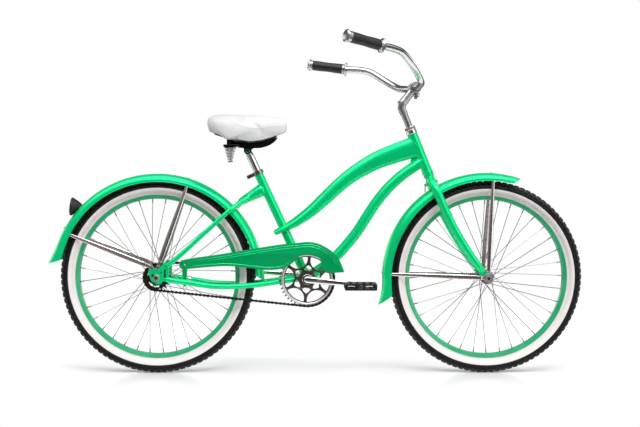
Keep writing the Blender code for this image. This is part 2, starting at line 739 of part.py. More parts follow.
def toothed(teeth, pitch_radius, start):
    """The outline of a toothed wheel for a roller chain."""
    root, tip = pitch_radius - 0.0042, pitch_radius + 0.0034
    outline = []
    for tooth in range(teeth):
        middle = start + 2 * math.pi * tooth / teeth
        step = 2 * math.pi / teeth
        for share, radius in ((-0.25, tip), (0.25, root)):
            outline.append(polar(radius, middle + share * step))
    return outline


def bean(radius, depth, half_angle, middle, count=10):
    """A hole that follows a circle round the centre."""
    outline = []
    for i in range(count):
        turn = 2 * math.pi * i / count
        outline.append(polar(radius + depth / 2 * math.sin(turn), middle + half_angle * math.cos(turn)))
    return outline


def chainring():
    """Six arms between six wide windows, with a small hole at the root of each arm."""
    outlines = [toothed(CHAINRING_TEETH, CHAINRING_PITCH_RADIUS, 0.0), circle(SPINDLE_RADIUS + 0.0012, 16)]
    for arm in range(6):
        outlines.append(bean(0.0585, 0.0300, math.radians(25), math.radians(60 * arm)))
        middle = math.radians(60 * arm + 30)
        outlines.append([polar(0.0375, middle - 0.17), polar(0.0375, middle + 0.17), polar(0.0265, middle)])
    axis = -LEFT
    plate("chainring", outlines, TOOTH_THICKNESS, BRACKET - LEFT * CHAIN_LINE, axis, CRANK_AHEAD, CHROME)


def sprocket():
    """The rear sprocket on its driver, which turns freely on the axle."""
    outlines = [toothed(SPROCKET_TEETH, SPROCKET_PITCH_RADIUS, 0.0)]
    for hole in range(3):
        outlines.append(bean(0.0285, 0.0085, math.radians(42), math.radians(120 * hole + 60)))
    centre = REAR_AXLE - LEFT * CHAIN_LINE
    item = plate("rear_sprocket", outlines, TOOTH_THICKNESS, centre, -LEFT, (1.0, 0.0, 0.0), STEEL)
    driver = rod("driver", centre - LEFT * 0.0035, REAR_AXLE - LEFT * 0.0375, 0.0160, sides=20)
    bore = rod("driver_bore", centre - LEFT * 0.0145, centre + LEFT * 0.0155, AXLE_RADIUS + 0.0008)
    cut(join(item, driver), bore)


def chain_loop(offset):
    """The chain's loop round both toothed wheels in (x, z), moved out by an offset."""
    apart = BRACKET - REAR_AXLE
    distance = math.hypot(apart.x, apart.z)
    tilt = math.atan2(apart.z, apart.x)
    lean = math.asin((CHAINRING_PITCH_RADIUS - SPROCKET_PITCH_RADIUS) / distance)
    loop = []
    for centre, radius, first, sweep, count in (
        (BRACKET, CHAINRING_PITCH_RADIUS, tilt - math.pi / 2 - lean, math.pi + 2 * lean, 16),
        (REAR_AXLE, SPROCKET_PITCH_RADIUS, tilt + math.pi / 2 + lean, math.pi - 2 * lean, 10),
    ):
        for i in range(count + 1):
            x, z = polar(radius + offset, first + sweep * i / count)
            loop.append((centre.x + x, centre.z + z))
    return loop


def chain():
    """Two bands of plates round the loop, with rollers between them along the two straight runs."""
    outlines = [chain_loop(CHAIN_PLATE_HALF_HEIGHT), chain_loop(-CHAIN_PLATE_HALF_HEIGHT)]
    thickness = CHAIN_WIDTH / 2 - TOOTH_THICKNESS / 2 - RUNNING_GAP
    middle = (CHAIN_WIDTH - thickness) / 2
    item = side_plate("chain", outlines, thickness, -CHAIN_LINE - middle, STEEL)
    join(item, side_plate("chain_inner_band", outlines, thickness, -CHAIN_LINE + middle))
    pitch_line = chain_loop(0.0)
    runs = ((pitch_line[16], pitch_line[17]), (pitch_line[-1], pitch_line[0]))
    for (x0, z0), (x1, z1) in runs:
        for number in range(1, 3):
            share = number / 3
            at = Vector((x0 + (x1 - x0) * share, -CHAIN_LINE, z0 + (z1 - z0) * share))
            join(item, rod("roller", at - LEFT * middle, at + LEFT * middle, 0.0036, sides=6))


GUARD_EDGE = (
    (0.0712, 0.3443), (0.0745, 0.3560), (0.0917, 0.3648), (0.2000, 0.3810), (0.3127, 0.3999),
    (0.3900, 0.4120), (0.4352, 0.4166), (0.4761, 0.4201), (0.5050, 0.4160), (0.5297, 0.4051),
    (0.5500, 0.3920), (0.5660, 0.3768), (0.5780, 0.3590), (0.5867, 0.3389), (0.5915, 0.3247),
    (0.5363, 0.3214), (0.5290, 0.3300), (0.5189, 0.3419), (0.5195, 0.3530), (0.5163, 0.3640),
    (0.5078, 0.3719), (0.4980, 0.3775), (0.4873, 0.3800), (0.4740, 0.3800), (0.4605, 0.3777),
    (0.4495, 0.3770), (0.4385, 0.3639), (0.4228, 0.3497), (0.3977, 0.3354), (0.3694, 0.3300),
    (0.3317, 0.3322), (0.3002, 0.3384), (0.2249, 0.3446), (0.1559, 0.3398), (0.0869, 0.3333),
    (0.0760, 0.3360),
)
GUARD_LIP = slice(2, 15)


def chainguard():
    """A pressed sheet with a lip over the chain, a strap to the chainstay and a spacer to the down tube."""
    item = side_plate("chainguard", [list(GUARD_EDGE)], SHEET, -GUARD_PLANE, GREEN)
    top = list(GUARD_EDGE[GUARD_LIP])
    inner = grow(list(GUARD_EDGE), -SHEET)[GUARD_LIP]
    depth = 0.010
    lip = side_plate("guard_lip", [top + inner[::-1]], depth, -GUARD_PLANE + depth / 2 - SHEET / 2)
    strap_x = 0.0885
    stay_y = along_table([(x, y) for x, y, z in CHAINSTAY], strap_x)
    stay_z = along_table([(x, z) for x, y, z in CHAINSTAY], strap_x)
    step_z = stay_z + CHAINSTAY_RADIUS + 0.0065
    strap_outline = [(strap_x - 0.0077, 0.342), (strap_x - 0.0077, step_z), (strap_x + 0.0077, step_z),
                     (strap_x + 0.0077, 0.342)]
    strap = side_plate("guard_strap", [strap_outline], SHEET, -GUARD_PLANE + SHEET * 0.6)
    behind = stay_y - CHAINSTAY_RADIUS - 2 * GAP - SHEET / 2
    eye_z = stay_z - CHAINSTAY_RADIUS - 0.0100
    hanger_outline = [(strap_x - 0.0040, eye_z), (strap_x + 0.0040, eye_z),
                      (strap_x + 0.0040, step_z + 0.003), (strap_x - 0.0040, step_z + 0.003)]
    hanger = side_plate("strap_hanger", [hanger_outline], SHEET, -behind)
    step_size = (0.0080, GUARD_PLANE - behind, 0.0020)
    step_at = Vector((strap_x, -(GUARD_PLANE + behind) / 2, step_z + 0.0014))
    step = block("strap_step", step_size, Matrix.Translation(step_at))
    eye_at = Vector((strap_x, -behind, eye_z))
    eye = rod("strap_eye", eye_at - LEFT * SHEET, eye_at + LEFT * SHEET / 2, 0.0065, sides=10)
    spacer_x = BRACKET.x + 0.0875
    spacer_z = along_table([(tube_reach(share), z) for share, z in DOWN_TUBE], spacer_x)
    spacer = rod("guard_spacer", (spacer_x, -GUARD_PLANE, spacer_z),
                 (spacer_x, -DOWN_TUBE_RADIUS - GAP, spacer_z), 0.0050, sides=12)
    join(item, lip, strap, step, hanger, eye, spacer)


def arm_rings(side):
    """The rings of one crank arm, from the spindle out to the pedal's eye."""
    ahead = CRANK_AHEAD * (1 if side == -1 else -1)
    places = (
        # reach, distance out, width, thickness
        (-0.010, 0.0565, 0.0150, 0.0125), (0.0, 0.0565, 0.0215, 0.0130), (0.030, 0.0590, 0.0205, 0.0120),
        (0.058, 0.0640, 0.0190, 0.0110), (0.110, 0.0672, 0.0165, 0.0105),
        (CRANK_LENGTH, CRANK_OUT, 0.0150, 0.0100),
    )
    rings = []
    for reach, out, width, thickness in places:
        centre = BRACKET + ahead * reach + LEFT * side * out
        rings.append(oval_ring(centre, ahead, LEFT, thickness / 2, width / 2, 8))
    return rings


def pedal_centre(side):
    """The point on a pedal's spindle in the middle plane of the crank's arm."""
    ahead = CRANK_AHEAD * (1 if side == -1 else -1)
    return BRACKET + ahead * CRANK_LENGTH + LEFT * side * CRANK_OUT


def crank():
    """A one-piece crank: two arms and a spindle, with the pedals' spindles screwed in."""
    item = loft("crank", arm_rings(-1), CHROME)
    left_arm = loft("left_arm", arm_rings(1))
    boss_face = CHAIN_LINE + TOOTH_THICKNESS / 2 + GAP
    seat_face = CHAIN_LINE - TOOTH_THICKNESS / 2 - GAP
    cup_face = SHELL_HALF_WIDTH + 0.0054
    points = [(0.0, 0.0560), (SPINDLE_RADIUS, 0.0560), (SPINDLE_RADIUS, 0.0470), (0.0160, 0.0470),
              (0.0160, cup_face), (SPINDLE_RADIUS, cup_face), (SPINDLE_RADIUS, -cup_face),
              (0.0160, -cup_face),
              (0.0160, -seat_face), (SPINDLE_RADIUS, -seat_face), (SPINDLE_RADIUS, -boss_face),
              (0.0165, -boss_face), (0.0165, -0.0535), (0.0, -0.0535)]
    join(item, turned("crank_spindle", points, BRACKET, LEFT), left_arm)
    for side in (-1, 1):
        centre = pedal_centre(side)
        join(item, rod("crank_eye", centre - LEFT * 0.0065, centre + LEFT * 0.0065, 0.0125, sides=12))
        end = centre + LEFT * side * (0.0085 + PEDAL_WIDTH * 0.93)
        join(item, rod("pedal_spindle", centre, end, PEDAL_SPINDLE_RADIUS, sides=10))


def pedal(name, side, tilt):
    """A block pedal: two end plates with windows and tread bars, and a barrel that turns on the spindle."""
    start = pedal_centre(side) + LEFT * side * 0.0080
    middle = start + LEFT * side * PEDAL_WIDTH / 2
    turn = Matrix.Translation(middle) @ Matrix.Rotation(tilt, 4, "Y")
    half_length, half_width = PEDAL_LENGTH / 2, PEDAL_WIDTH / 2
    wall, corner = 0.0060, 0.0045
    quarter = [(half_length, half_width - corner), (half_length - corner, half_width)]
    upper = quarter + [(-x, y) for x, y in reversed(quarter)]
    outline = upper + [(-x, -y) for x, y in upper]
    up, ahead = turn.to_3x3() @ Vector((0.0, 0.0, 1.0)), turn.to_3x3() @ Vector((1.0, 0.0, 0.0))
    item = plate(name, [outline], PEDAL_HEIGHT, middle, up, ahead, BLACK_PLASTIC)
    near, far = wall + 0.005, half_length - wall
    width = (far - near - wall) / 2
    for end in (-1, 1):
        for x in (near + width / 2, far - width / 2):
            at = turn @ Matrix.Translation(Vector((end * x, 0.0, 0.0)))
            cut(item, block("pedal_window", (width, PEDAL_WIDTH - 2 * wall, 2 * PEDAL_HEIGHT), at))
    bore = rod("pedal_bore", start - LEFT * side * 0.02, start + LEFT * side * PEDAL_WIDTH * 0.96,
               around(PEDAL_SPINDLE_RADIUS, 10), sides=10)
    cut(item, bore)


def brake_arm():
    """The coaster brake's arm, from the axle's left end to a clip round the left chainstay."""
    thickness = 0.0025
    face = DROPOUT_INNER - CONE_LENGTH - 2 * GAP - thickness / 2
    before, after = Vector(CHAINSTAY[1]), Vector(CHAINSTAY[2])
    stay = before.lerp(after, 0.18)
    below = CHAINSTAY_RADIUS + 0.0085
    x0, z0 = 0.0, AXLE_HEIGHT
    x1, z1 = stay.x, stay.z - below
    way = Vector((x1 - x0, z1 - z0)).normalized()
    side = Vector((-way.y, way.x))
    outline = circle(0.0120, 12, x0, z0, math.atan2(way.y, way.x) + math.radians(30))
    outline = outline[:11]
    for reach, half in ((1.0, -0.0050), (1.0, 0.0050)):
        at = Vector((x0, z0)) + way * (Vector((x1 - x0, z1 - z0)).length * reach) + side * half
        outline.append((at.x, at.y))
    hole = circle(around(AXLE_RADIUS, 12), 12, x0, z0)
    item = side_plate("brake_arm", [outline, hole], thickness, face, CHROME)
    inner = around(CHAINSTAY_RADIUS, 10)
    outer = inner + 0.0012
    band = [(outer, 0.005), (outer, -0.005), (inner, -0.005), (inner, 0.005)]
    ring = turned("clip_band", band, stay, after - before, closed=True, steps=10)
    lug = rod("clip_lug", (x1, face, z1), (x1, stay.y + 0.004, z1), 0.0048, sides=12)
    neck_at = Vector((x1, stay.y, z1 + 0.0046))
    neck = block("clip_neck", (0.0060, 0.0030, 0.0060), Matrix.Translation(neck_at))
    join(item, ring, lug, neck)


chainring()
sprocket()
chain()
chainguard()
crank()
pedal("pedal_right", -1, 0.0)
pedal("pedal_left", 1, -LEFT_PEDAL_TILT)
brake_arm()


# Fenders

def fender_point(axle, radius, drop, angle, across):
    """A point of a fender's sheet at an angle round the wheel; across goes from -1 to 1 over the sheet."""
    beta = across * math.pi / 2
    depth = FENDER_DEPTH * (1 - max(math.cos(beta), 0.0)**0.8)
    reach = radius - depth
    x, z = polar(reach, angle)
    return Vector((axle.x + x, FENDER_HALF_WIDTH * math.sin(beta), axle.z - drop + z))


def fender(name, axle, radius, drop, span, tips, flare_out):
    """A pressed arch round part of a wheel. Each tip reaches further at its crown; the last one flares."""
    first, last = span
    shape = bmesh.new()
    rows = []
    for i in range(FENDER_STEPS + 1):
        share = i / FENDER_STEPS
        row = []
        for j in range(7):
            across = (j - 3) / 3
            crown = math.cos(across * math.pi / 2)
            start = first - tips[0] * crown
            end = last + tips[1] * crown
            angle = start + (end - start) * share
            flare = flare_out * max(1 - (last - angle) / math.radians(9), 0.0)**2
            flared = radius + flare * (0.3 + 0.7 * crown)
            row.append(shape.verts.new(fender_point(axle, flared, drop, angle, across)))
        rows.append(row)
    for row, after in zip(rows, rows[1:]):
        for j in range(6):
            shape.faces.new((row[j], row[j + 1], after[j + 1], after[j]))
    bmesh.ops.recalc_face_normals(shape, faces=shape.faces)
    mesh = bpy.data.meshes.new(name)
    shape.to_mesh(mesh)
    shape.free()
    item = add(name, mesh, GREEN)
    solid = item.modifiers.new("sheet", "SOLIDIFY")
    solid.thickness = SHEET
    solid.offset = 1.0
    return item


def fender_stay(name, foot, head, side, eye_radius):
    """A tapered oval fender stay: flat past its foot, then leaning in to end inside the fender's lip."""
    foot, head = Vector(foot), Vector(head)
    way = head - foot
    flat_way = Vector((way.x, 0.0, way.z)).normalized()
    flat = STAY_THICKNESS * 0.55
    turn = foot + LEFT * side * (flat / 2 - STAY_EYE / 2) + flat_way * 0.032
    rings = []
    for centre, width, thickness in ((foot + flat_way * 0.004, 0.55, STAY_EYE * 0.9),
                                     (foot + flat_way * 0.018, 0.70, STAY_EYE * 0.9),
                                     (turn, 0.85, flat),
                                     (turn.lerp(head, 0.25), 1.0, STAY_THICKNESS),
                                     (turn.lerp(head, 0.65), 0.85, STAY_THICKNESS),
                                     (head, 0.48, STAY_THICKNESS * 0.38)):
        rings.append(oval_ring(centre, flat_way, LEFT, thickness / 2, STAY_WIDTH * width / 2, 6))
    item = loft(name, rings, CHROME)
    eye = rod("stay_eye", foot - LEFT * STAY_EYE / 2, foot + LEFT * STAY_EYE / 2, eye_radius, sides=10)
    return join(item, eye)


fender("rear_fender", REAR_AXLE, REAR_FENDER_RADIUS, REAR_FENDER_DROP, REAR_SPAN, REAR_TIPS, REAR_FLARE)
fender("front_fender", FRONT_AXLE, FRONT_FENDER_RADIUS, 0.0, FRONT_SPAN, FRONT_TIPS, FRONT_FLARE)


def stay_head(axle, radius, drop, angle, side):
    """Where a stay ends, just inside a fender's lip."""
    inside = FENDER_HALF_WIDTH - 0.0026
    reach = radius - FENDER_DEPTH + 0.004
    x, z = polar(reach, angle)
    return Vector((axle.x + x, side * inside, axle.z - drop + z))


def fender_stays():
    """Two stays on each side of each fender."""
    for word, side in (("right", -1), ("left", 1)):
        lug = DROPOUT_INNER + DROPOUT_THICKNESS + GAP + STAY_EYE / 2
        for part, foot_x, angle in (("upper", 0.0050, 72.6), ("lower", -0.0150, 152.2)):
            foot = Vector((foot_x, side * lug, 0.0328 + AXLE_HEIGHT))
            at = math.radians(angle)
            head = stay_head(REAR_AXLE, REAR_FENDER_RADIUS, REAR_FENDER_DROP, at, side)
            item = fender_stay(f"rear_{part}_stay_{word}", foot, head, side, 0.0070)
            join(item, rod("stay_screw", foot, foot + LEFT * side * 0.0035, 0.0042, sides=8))
        tip = FRONT_HUB_WIDTH / 2 + FORK_TIP_THICKNESS
        for part, layer, angle in (("upper", 1, 86.9), ("rear", 0, 178.2)):
            foot = FRONT_AXLE + LEFT * side * (tip + GAP + STAY_EYE / 2 + layer * (STAY_EYE + GAP))
            head = stay_head(FRONT_AXLE, FRONT_FENDER_RADIUS, 0.0, math.radians(angle), side)
            item = fender_stay(f"front_{part}_stay_{word}", foot, head, side, 0.0100)
            hole = rod("eye_hole", foot - LEFT * 0.01, foot + LEFT * 0.01, around(AXLE_RADIUS, 8), sides=8)
            cut(item, hole)


def reflector():
    """A round lens in a housing that tapers down to the rear fender's crown."""
    tilt = math.radians(6.3)
    axis = Vector((-math.cos(tilt), 0.0, math.sin(tilt)))
    face_x, face_z = polar(REAR_FENDER_RADIUS + 0.02302, math.radians(139.769))
    face = REAR_AXLE + Vector((face_x, 0.0, face_z - REAR_FENDER_DROP))
    radius, rim, pocket = 0.0287, 0.0020, 0.0035
    points = [(0.0, -pocket), (radius - rim, -pocket), (radius - rim, 0.0), (radius, -0.0010),
              (radius, -0.0050), (0.0200, -0.0220), (0.0075, -0.0400), (0.0, -0.0400)]
    housing = turned("reflector_housing", points, face, axis, BLACK_PLASTIC, 20)
    beta = [(j - 6) / 6 * math.pi / 2 for j in range(13)]
    section = [(REAR_FENDER_RADIUS + SHEET + GAP - FENDER_DEPTH * (1 - math.cos(b)**0.8),
                (FENDER_HALF_WIDTH + SHEET + GAP) * math.sin(b)) for b in beta]
    low = REAR_FENDER_RADIUS * 0.45
    section = [(low, section[-1][1])] + section[::-1] + [(low, section[0][1])]
    middle = REAR_AXLE - Vector((0.0, 0.0, REAR_FENDER_DROP))
    arch = turned("fender_space", section, middle, LEFT, steps=160, closed=True)
    cut(housing, arch)
    edge = radius - rim - GAP
    lens = [(0.0, -0.0004), (edge, -0.0010), (edge, GAP - pocket), (0.0, GAP - pocket)]
    turned("reflector_lens", lens, face, axis, RED_LENS, 20)


fender_stays()
reflector()


# Steering

def fork_route(side):
    """The centre line of one fork leg, from the crown out and down to its tip."""
    top, low = -0.030, -0.3857
    rake = FORK_OFFSET * math.cos(HEAD_LEAN)
    route = [steering(top, 0.0, side * 0.002), steering(top - 0.008, -0.001, side * 0.023),
             steering(top - 0.026, 0.0, side * 0.0435)]
    for up in (-0.085, -0.135, -0.185, -0.225, -0.265, -0.305, -0.340, -0.364):
        share = (up + 0.066) / (low + 0.066)
        route.append(steering(up, rake * share**2.2, side * FORK_SPREAD))
    return route


def fork():
    """Steerer, crown race, two raked legs with a collar on each, and tips for the axle."""
    bore = around(QUILL_RADIUS, 12)
    points = [(0.0, 0.000), (bore, 0.000), (bore, 0.150), (STEERER_RADIUS, 0.150), (STEERER_RADIUS, -0.0125),
              (0.0172, -0.0125), (0.0172, -0.0180), (0.0150, -0.0230), (0.0150, -0.0360), (0.0, -0.0420)]
    item = turned("fork", points, HEAD_LOW, STEER_UP, GREEN, 12)
    for side in (-1, 1):
        route = fork_route(side)
        radii = [1.05, 1.08, 1.08, 1.08, 1.06, 1.00, 0.99, 0.97, 0.93, 0.86, 0.46]
        join(item, tube("fork_leg", route, FORK_LEG_RADIUS, radii=radii, roundness=2))
        down = (route[5] - route[4]).normalized()
        join(item, rod("leg_collar", route[4] + down * 0.010, route[4] + down * 0.022, 0.0150, sides=12))
        tip_middle = side * (FRONT_HUB_WIDTH + FORK_TIP_THICKNESS) / 2
        start = route[-1] + Vector((-0.010, 0.0, 0.010))
        outline = [(start.x - 0.006, start.z - 0.010), (WHEELBASE - 0.004, AXLE_HEIGHT - 0.0105),
                   (WHEELBASE + 0.007, AXLE_HEIGHT - 0.0080), (WHEELBASE + 0.0105, AXLE_HEIGHT + 0.001),
                   (WHEELBASE + 0.006, AXLE_HEIGHT + 0.0095), (start.x + 0.010, start.z + 0.006)]
        hole = circle(around(AXLE_RADIUS, 12), 12, WHEELBASE, AXLE_HEIGHT)
        join(item, side_plate("fork_tip", [outline, hole], FORK_TIP_THICKNESS, tip_middle))
    bolt = rod("fender_bolt", steering(-0.041, -0.0250), steering(-0.041, 0.0200), 0.0042, sides=8)
    tab_top = steering(-0.041, -0.0235)
    crown_z = AXLE_HEIGHT + math.sqrt((FRONT_FENDER_RADIUS + SHEET + GAP)**2 - (WHEELBASE - tab_top.x)**2)
    tab_height = tab_top.z + 0.006 - crown_z
    tab = block("fender_tab", (0.0025, 0.0120, tab_height),
                Matrix.Translation(Vector((tab_top.x - 0.0002, 0.0, crown_z + tab_height / 2 + 0.0004))))
    join(item, bolt, tab)


def headset_locknut():
    """The nut that closes the headset above its upper cup."""
    bore = around(STEERER_RADIUS, 16)
    low = 0.010 + GAP
    points = [(0.0140, low + 0.0135), (0.0158, low + 0.0110), (0.0158, low + 0.0040), (0.0178, low + 0.0035),
              (0.0178, low), (bore, low), (bore, low + 0.0135)]
    turned("headset_locknut", points, steering(HEAD_TUBE_LENGTH), STEER_UP, CHROME, closed=True)


def turned_with_stem(item):
    """Turns an object that was made straight ahead about the steering axis, as the stem stands."""
    turn = Matrix.Rotation(STEM_TURN, 4, STEER_UP)
    about = Matrix.Translation(HEAD_LOW) @ turn @ Matrix.Translation(-HEAD_LOW)
    item.matrix_world = about @ item.matrix_world
    return item


STEM_TOP = steering(STEM_HEIGHT)
BAR_CENTRE = STEM_TOP + STEM_REACH
BAR_HALF = (
    # ahead of the clamp, out to the side, above the clamp
    (0.0, 0.0, 0.0),
    (0.0, 0.0270, 0.0),
    (0.0029, 0.0550, 0.0018),
    (-0.0020, 0.1000, 0.0065),
    (-0.0192, 0.1500, 0.0149),
    (-0.0500, 0.2000, 0.0420),
    (-0.0919, 0.2411, 0.0754),
    (-0.1250, 0.2640, 0.0860),
    (-0.1662, 0.2882, 0.0907),
)
GRIP_WAY = Vector((-0.1209, 0.0540, 0.0202)).normalized()
CAP_LENGTH = 0.0200
COLLAR_LENGTH = 0.0130
BAR_END_REACH = COLLAR_LENGTH + GRIP_LENGTH + CAP_LENGTH - 0.004


def grip_line(side):
    """The grip's start on the bar and the way that it points."""
    start = BAR_CENTRE + Vector(BAR_HALF[-1])
    return Vector((start.x, start.y * side, start.z)), Vector((GRIP_WAY.x, GRIP_WAY.y * side, GRIP_WAY.z))


def stem():
    """A quill, a neck that leans forward, a clamp for the bar, and the bolts."""
    clamp_radius, clamp_half = 0.0185, 0.0200
    quill = rod("stem", steering(0.040), STEM_TOP - STEER_UP * 0.002, QUILL_RADIUS, CHROME, sides=16)
    route = [steering(STEM_HEIGHT - 0.03), steering(STEM_HEIGHT - 0.008), STEM_TOP + STEM_REACH * 0.12,
             STEM_TOP + STEM_REACH * 0.35, BAR_CENTRE - STEM_REACH * 0.1]
    neck = tube("stem_neck", route, 0.0122, radii=[0.95, 1.0, 1.1, 1.05, 1.0], roundness=3)
    clamp = rod("stem_clamp", BAR_CENTRE - LEFT * clamp_half, BAR_CENTRE + LEFT * clamp_half, clamp_radius)
    bolt_at = BAR_CENTRE + Vector((0.006, 0.0, -0.021))
    lug_turn = Matrix.Translation(bolt_at) @ Matrix.Rotation(0.3, 4, "Y")
    lug = block("clamp_lug", (0.0180, 0.0240, 0.0130), lug_turn)
    bolt_way = Vector((0.004, 0.0, 0.018))
    bolt = rod("clamp_bolt", bolt_at - bolt_way * 0.78, bolt_at + bolt_way * 0.22, 0.0055, sides=6)
    expander = rod("expander_bolt", STEM_TOP, STEM_TOP + STEER_UP * 0.0165, 0.0060, sides=6)
    bore = rod("bar_bore", BAR_CENTRE - LEFT * 0.03, BAR_CENTRE + LEFT * 0.03, around(BAR_RADIUS, 16))
    for item in (quill, neck, clamp, lug, bolt, expander, bore):
        turned_with_stem(item)
    cut(join(quill, neck, clamp, lug, bolt, expander), bore)


def handlebar():
    """One swept tube, the same on both sides of the clamp."""
    half = [BAR_CENTRE + Vector(point) for point in BAR_HALF]
    route = half[:4] + smooth_route(half, 2)[8:-3] + half[-1:]
    start, way = grip_line(1)
    left = route + [start + way * 0.02, start + way * BAR_END_REACH]
    right = [Vector((point.x, -point.y, point.z)) for point in left[1:]]
    turned_with_stem(tube("handlebar", right[::-1] + left, BAR_RADIUS, CHROME, roundness=2))


def grips():
    """On each end a chrome collar, a rubber grip and a chrome end cap."""
    bore = around(BAR_RADIUS, 12)
    for word, side in (("right", -1), ("left", 1)):
        start, way = grip_line(side)
        collar = [(bore, COLLAR_LENGTH), (GRIP_RADIUS, COLLAR_LENGTH), (GRIP_RADIUS - 0.0005, 0.0085),
                  (COLLAR_RADIUS, 0.0035), (COLLAR_RADIUS, 0.0010), (bore, 0.0)]
        low, high = COLLAR_LENGTH + GAP, COLLAR_LENGTH + GRIP_LENGTH
        grip = [(GRIP_RADIUS, high), (GRIP_RADIUS, low), (bore, low), (bore, high)]
        near, far = high + GAP, high + CAP_LENGTH
        cap = [(0.0, far), (0.0140, far), (CAP_RADIUS, far - 0.0040), (CAP_RADIUS, far - 0.0080),
               (GRIP_RADIUS, far - 0.0100), (GRIP_RADIUS, near), (bore, near), (bore, BAR_END_REACH + GAP),
               (0.0, BAR_END_REACH + GAP)]
        pieces = (("grip_collar", collar, CHROME, True), ("grip", grip, GRIP_RUBBER, True),
                  ("grip_end_cap", cap, CHROME, False))
        for name, points, material, closed in pieces:
            turned_with_stem(turned(f"{name}_{word}", points, start, way, material, 12, closed))


fork()
headset_locknut()
stem()
handlebar()
grips()


# Saddle

POST_TOP = seat_line(POST_EXPOSED)
CLAMP_BOLT_RADIUS = 0.0040
EAR_INNER = 0.0195
EAR_THICKNESS = 0.0040


def seat_post():
    """A straight post with a barrel across its top and the clamp's bolt through it."""
    item = rod("seatpost", seat_line(-POST_INSERTED), POST_TOP, POST_RADIUS, CHROME, sides=16)
    half = LEFT * (EAR_INNER - GAP)
    barrel = rod("post_barrel", POST_TOP - half, POST_TOP + half, 0.0125)
    reach = EAR_INNER + EAR_THICKNESS + GAP
    half = LEFT * (reach + 0.002)
    join(item, barrel, rod("barrel_bolt", POST_TOP - half, POST_TOP + half, CLAMP_BOLT_RADIUS, sides=12))
    for side in (-1, 1):
        face = POST_TOP + LEFT * side * reach
        join(item, rod("bolt_nut", face, face + LEFT * side * 0.006, 0.0075, sides=6))


SADDLE_UNDERSIDE = (
    # ahead of the post's top, above it
    (-0.1178, 0.0565), (-0.0748, 0.0425), (-0.0398, 0.0301), (0.0072, 0.0249),
    (0.0482, 0.0305), (0.0927, 0.0455), (0.1202, 0.0565),
)


def saddle_point(ahead, left, above):
    """A place ahead of the post's top, to its left and above it."""
    return POST_TOP + Vector((ahead, left, above))


def underside(ahead):
    """The height of the saddle's underside above the post's top."""
    return along_table(SADDLE_UNDERSIDE, ahead)


def pan_half_width(ahead):
    """Half the width of the saddle's pan."""
    table = ((-0.1088, 0.070), (-0.0698, 0.082), (-0.0298, 0.070),
             (0.0152, 0.040), (0.0652, 0.024), (0.1072, 0.018))
    return along_table(table, ahead)


def pan_rings(top, bottom, margin=0.0):
    """Box rings along the saddle for its pan, between two heights from the underside."""
    rings = []
    places = (-0.1028, -0.0698, -0.0348, 0.0072, 0.0482, 0.0927)
    for ahead in (places[0] - margin, *places[1:-1], places[-1] + margin):
        half, z = pan_half_width(ahead) + margin, underside(ahead)
        corners = ((half, top), (-half, top), (-half, bottom), (half, bottom))
        rings.append([saddle_point(ahead, y, z + above) for y, above in corners])
    return rings


SPRING_PLACE = saddle_point(-0.0558, 0.0600, 0.0115)
PLATE_THICKNESS = 0.0065


def saddle_base():
    """A pan under the cushion, two ears at the clamp, and a plate behind that carries the springs."""
    item = loft("saddle_base", pan_rings(0.0010, -0.0025), BLACK_METAL)
    ear = [(-0.0148, -0.0085), (0.0102, -0.0085), (0.0326, 0.0055), (0.0602, 0.0175),
           (0.0769, 0.0243), (0.0922, 0.0425), (0.0652, 0.0365), (0.0482, 0.0300),
           (0.0072, 0.0243), (-0.0308, 0.0275), (-0.0308, 0.0060)]
    ear = [(POST_TOP.x + x, POST_TOP.z + z) for x, z in ear]
    hole = circle(around(CLAMP_BOLT_RADIUS, 12), 12, POST_TOP.x, POST_TOP.z)
    for side in (-1, 1):
        y = side * (EAR_INNER + EAR_THICKNESS / 2)
        join(item, side_plate("saddle_ear", [ear, hole], EAR_THICKNESS, y))
    carrier_at = Vector((SPRING_PLACE.x + 0.0070, 0.0, SPRING_PLACE.z + PLATE_THICKNESS / 2 + 2 * GAP))
    carrier = block("spring_plate", (0.052, 0.165, PLATE_THICKNESS), Matrix.Translation(carrier_at))
    riser_at = Vector((SPRING_PLACE.x - 0.0020, 0.0, SPRING_PLACE.z + 0.0155))
    post = block("plate_riser", (0.012, 0.150, 0.0180), Matrix.Translation(riser_at))
    join(item, carrier, post)
    for side in (-1, 1):
        top = Vector((SPRING_PLACE.x, side * SPRING_PLACE.y, SPRING_PLACE.z + 0.002))
        low = SPRING_PLACE.z - SPRING_LENGTH - 2 * SPRING_WIRE_RADIUS - GAP
        nut = Vector((top.x, top.y, low))
        join(item, rod("spring_bolt", nut - Vector((0.0, 0.0, 0.002)), top, 0.0020, sides=8))
        join(item, rod("spring_nut", nut - Vector((0.0, 0.0, 0.0050)), nut, 0.0062, sides=12))


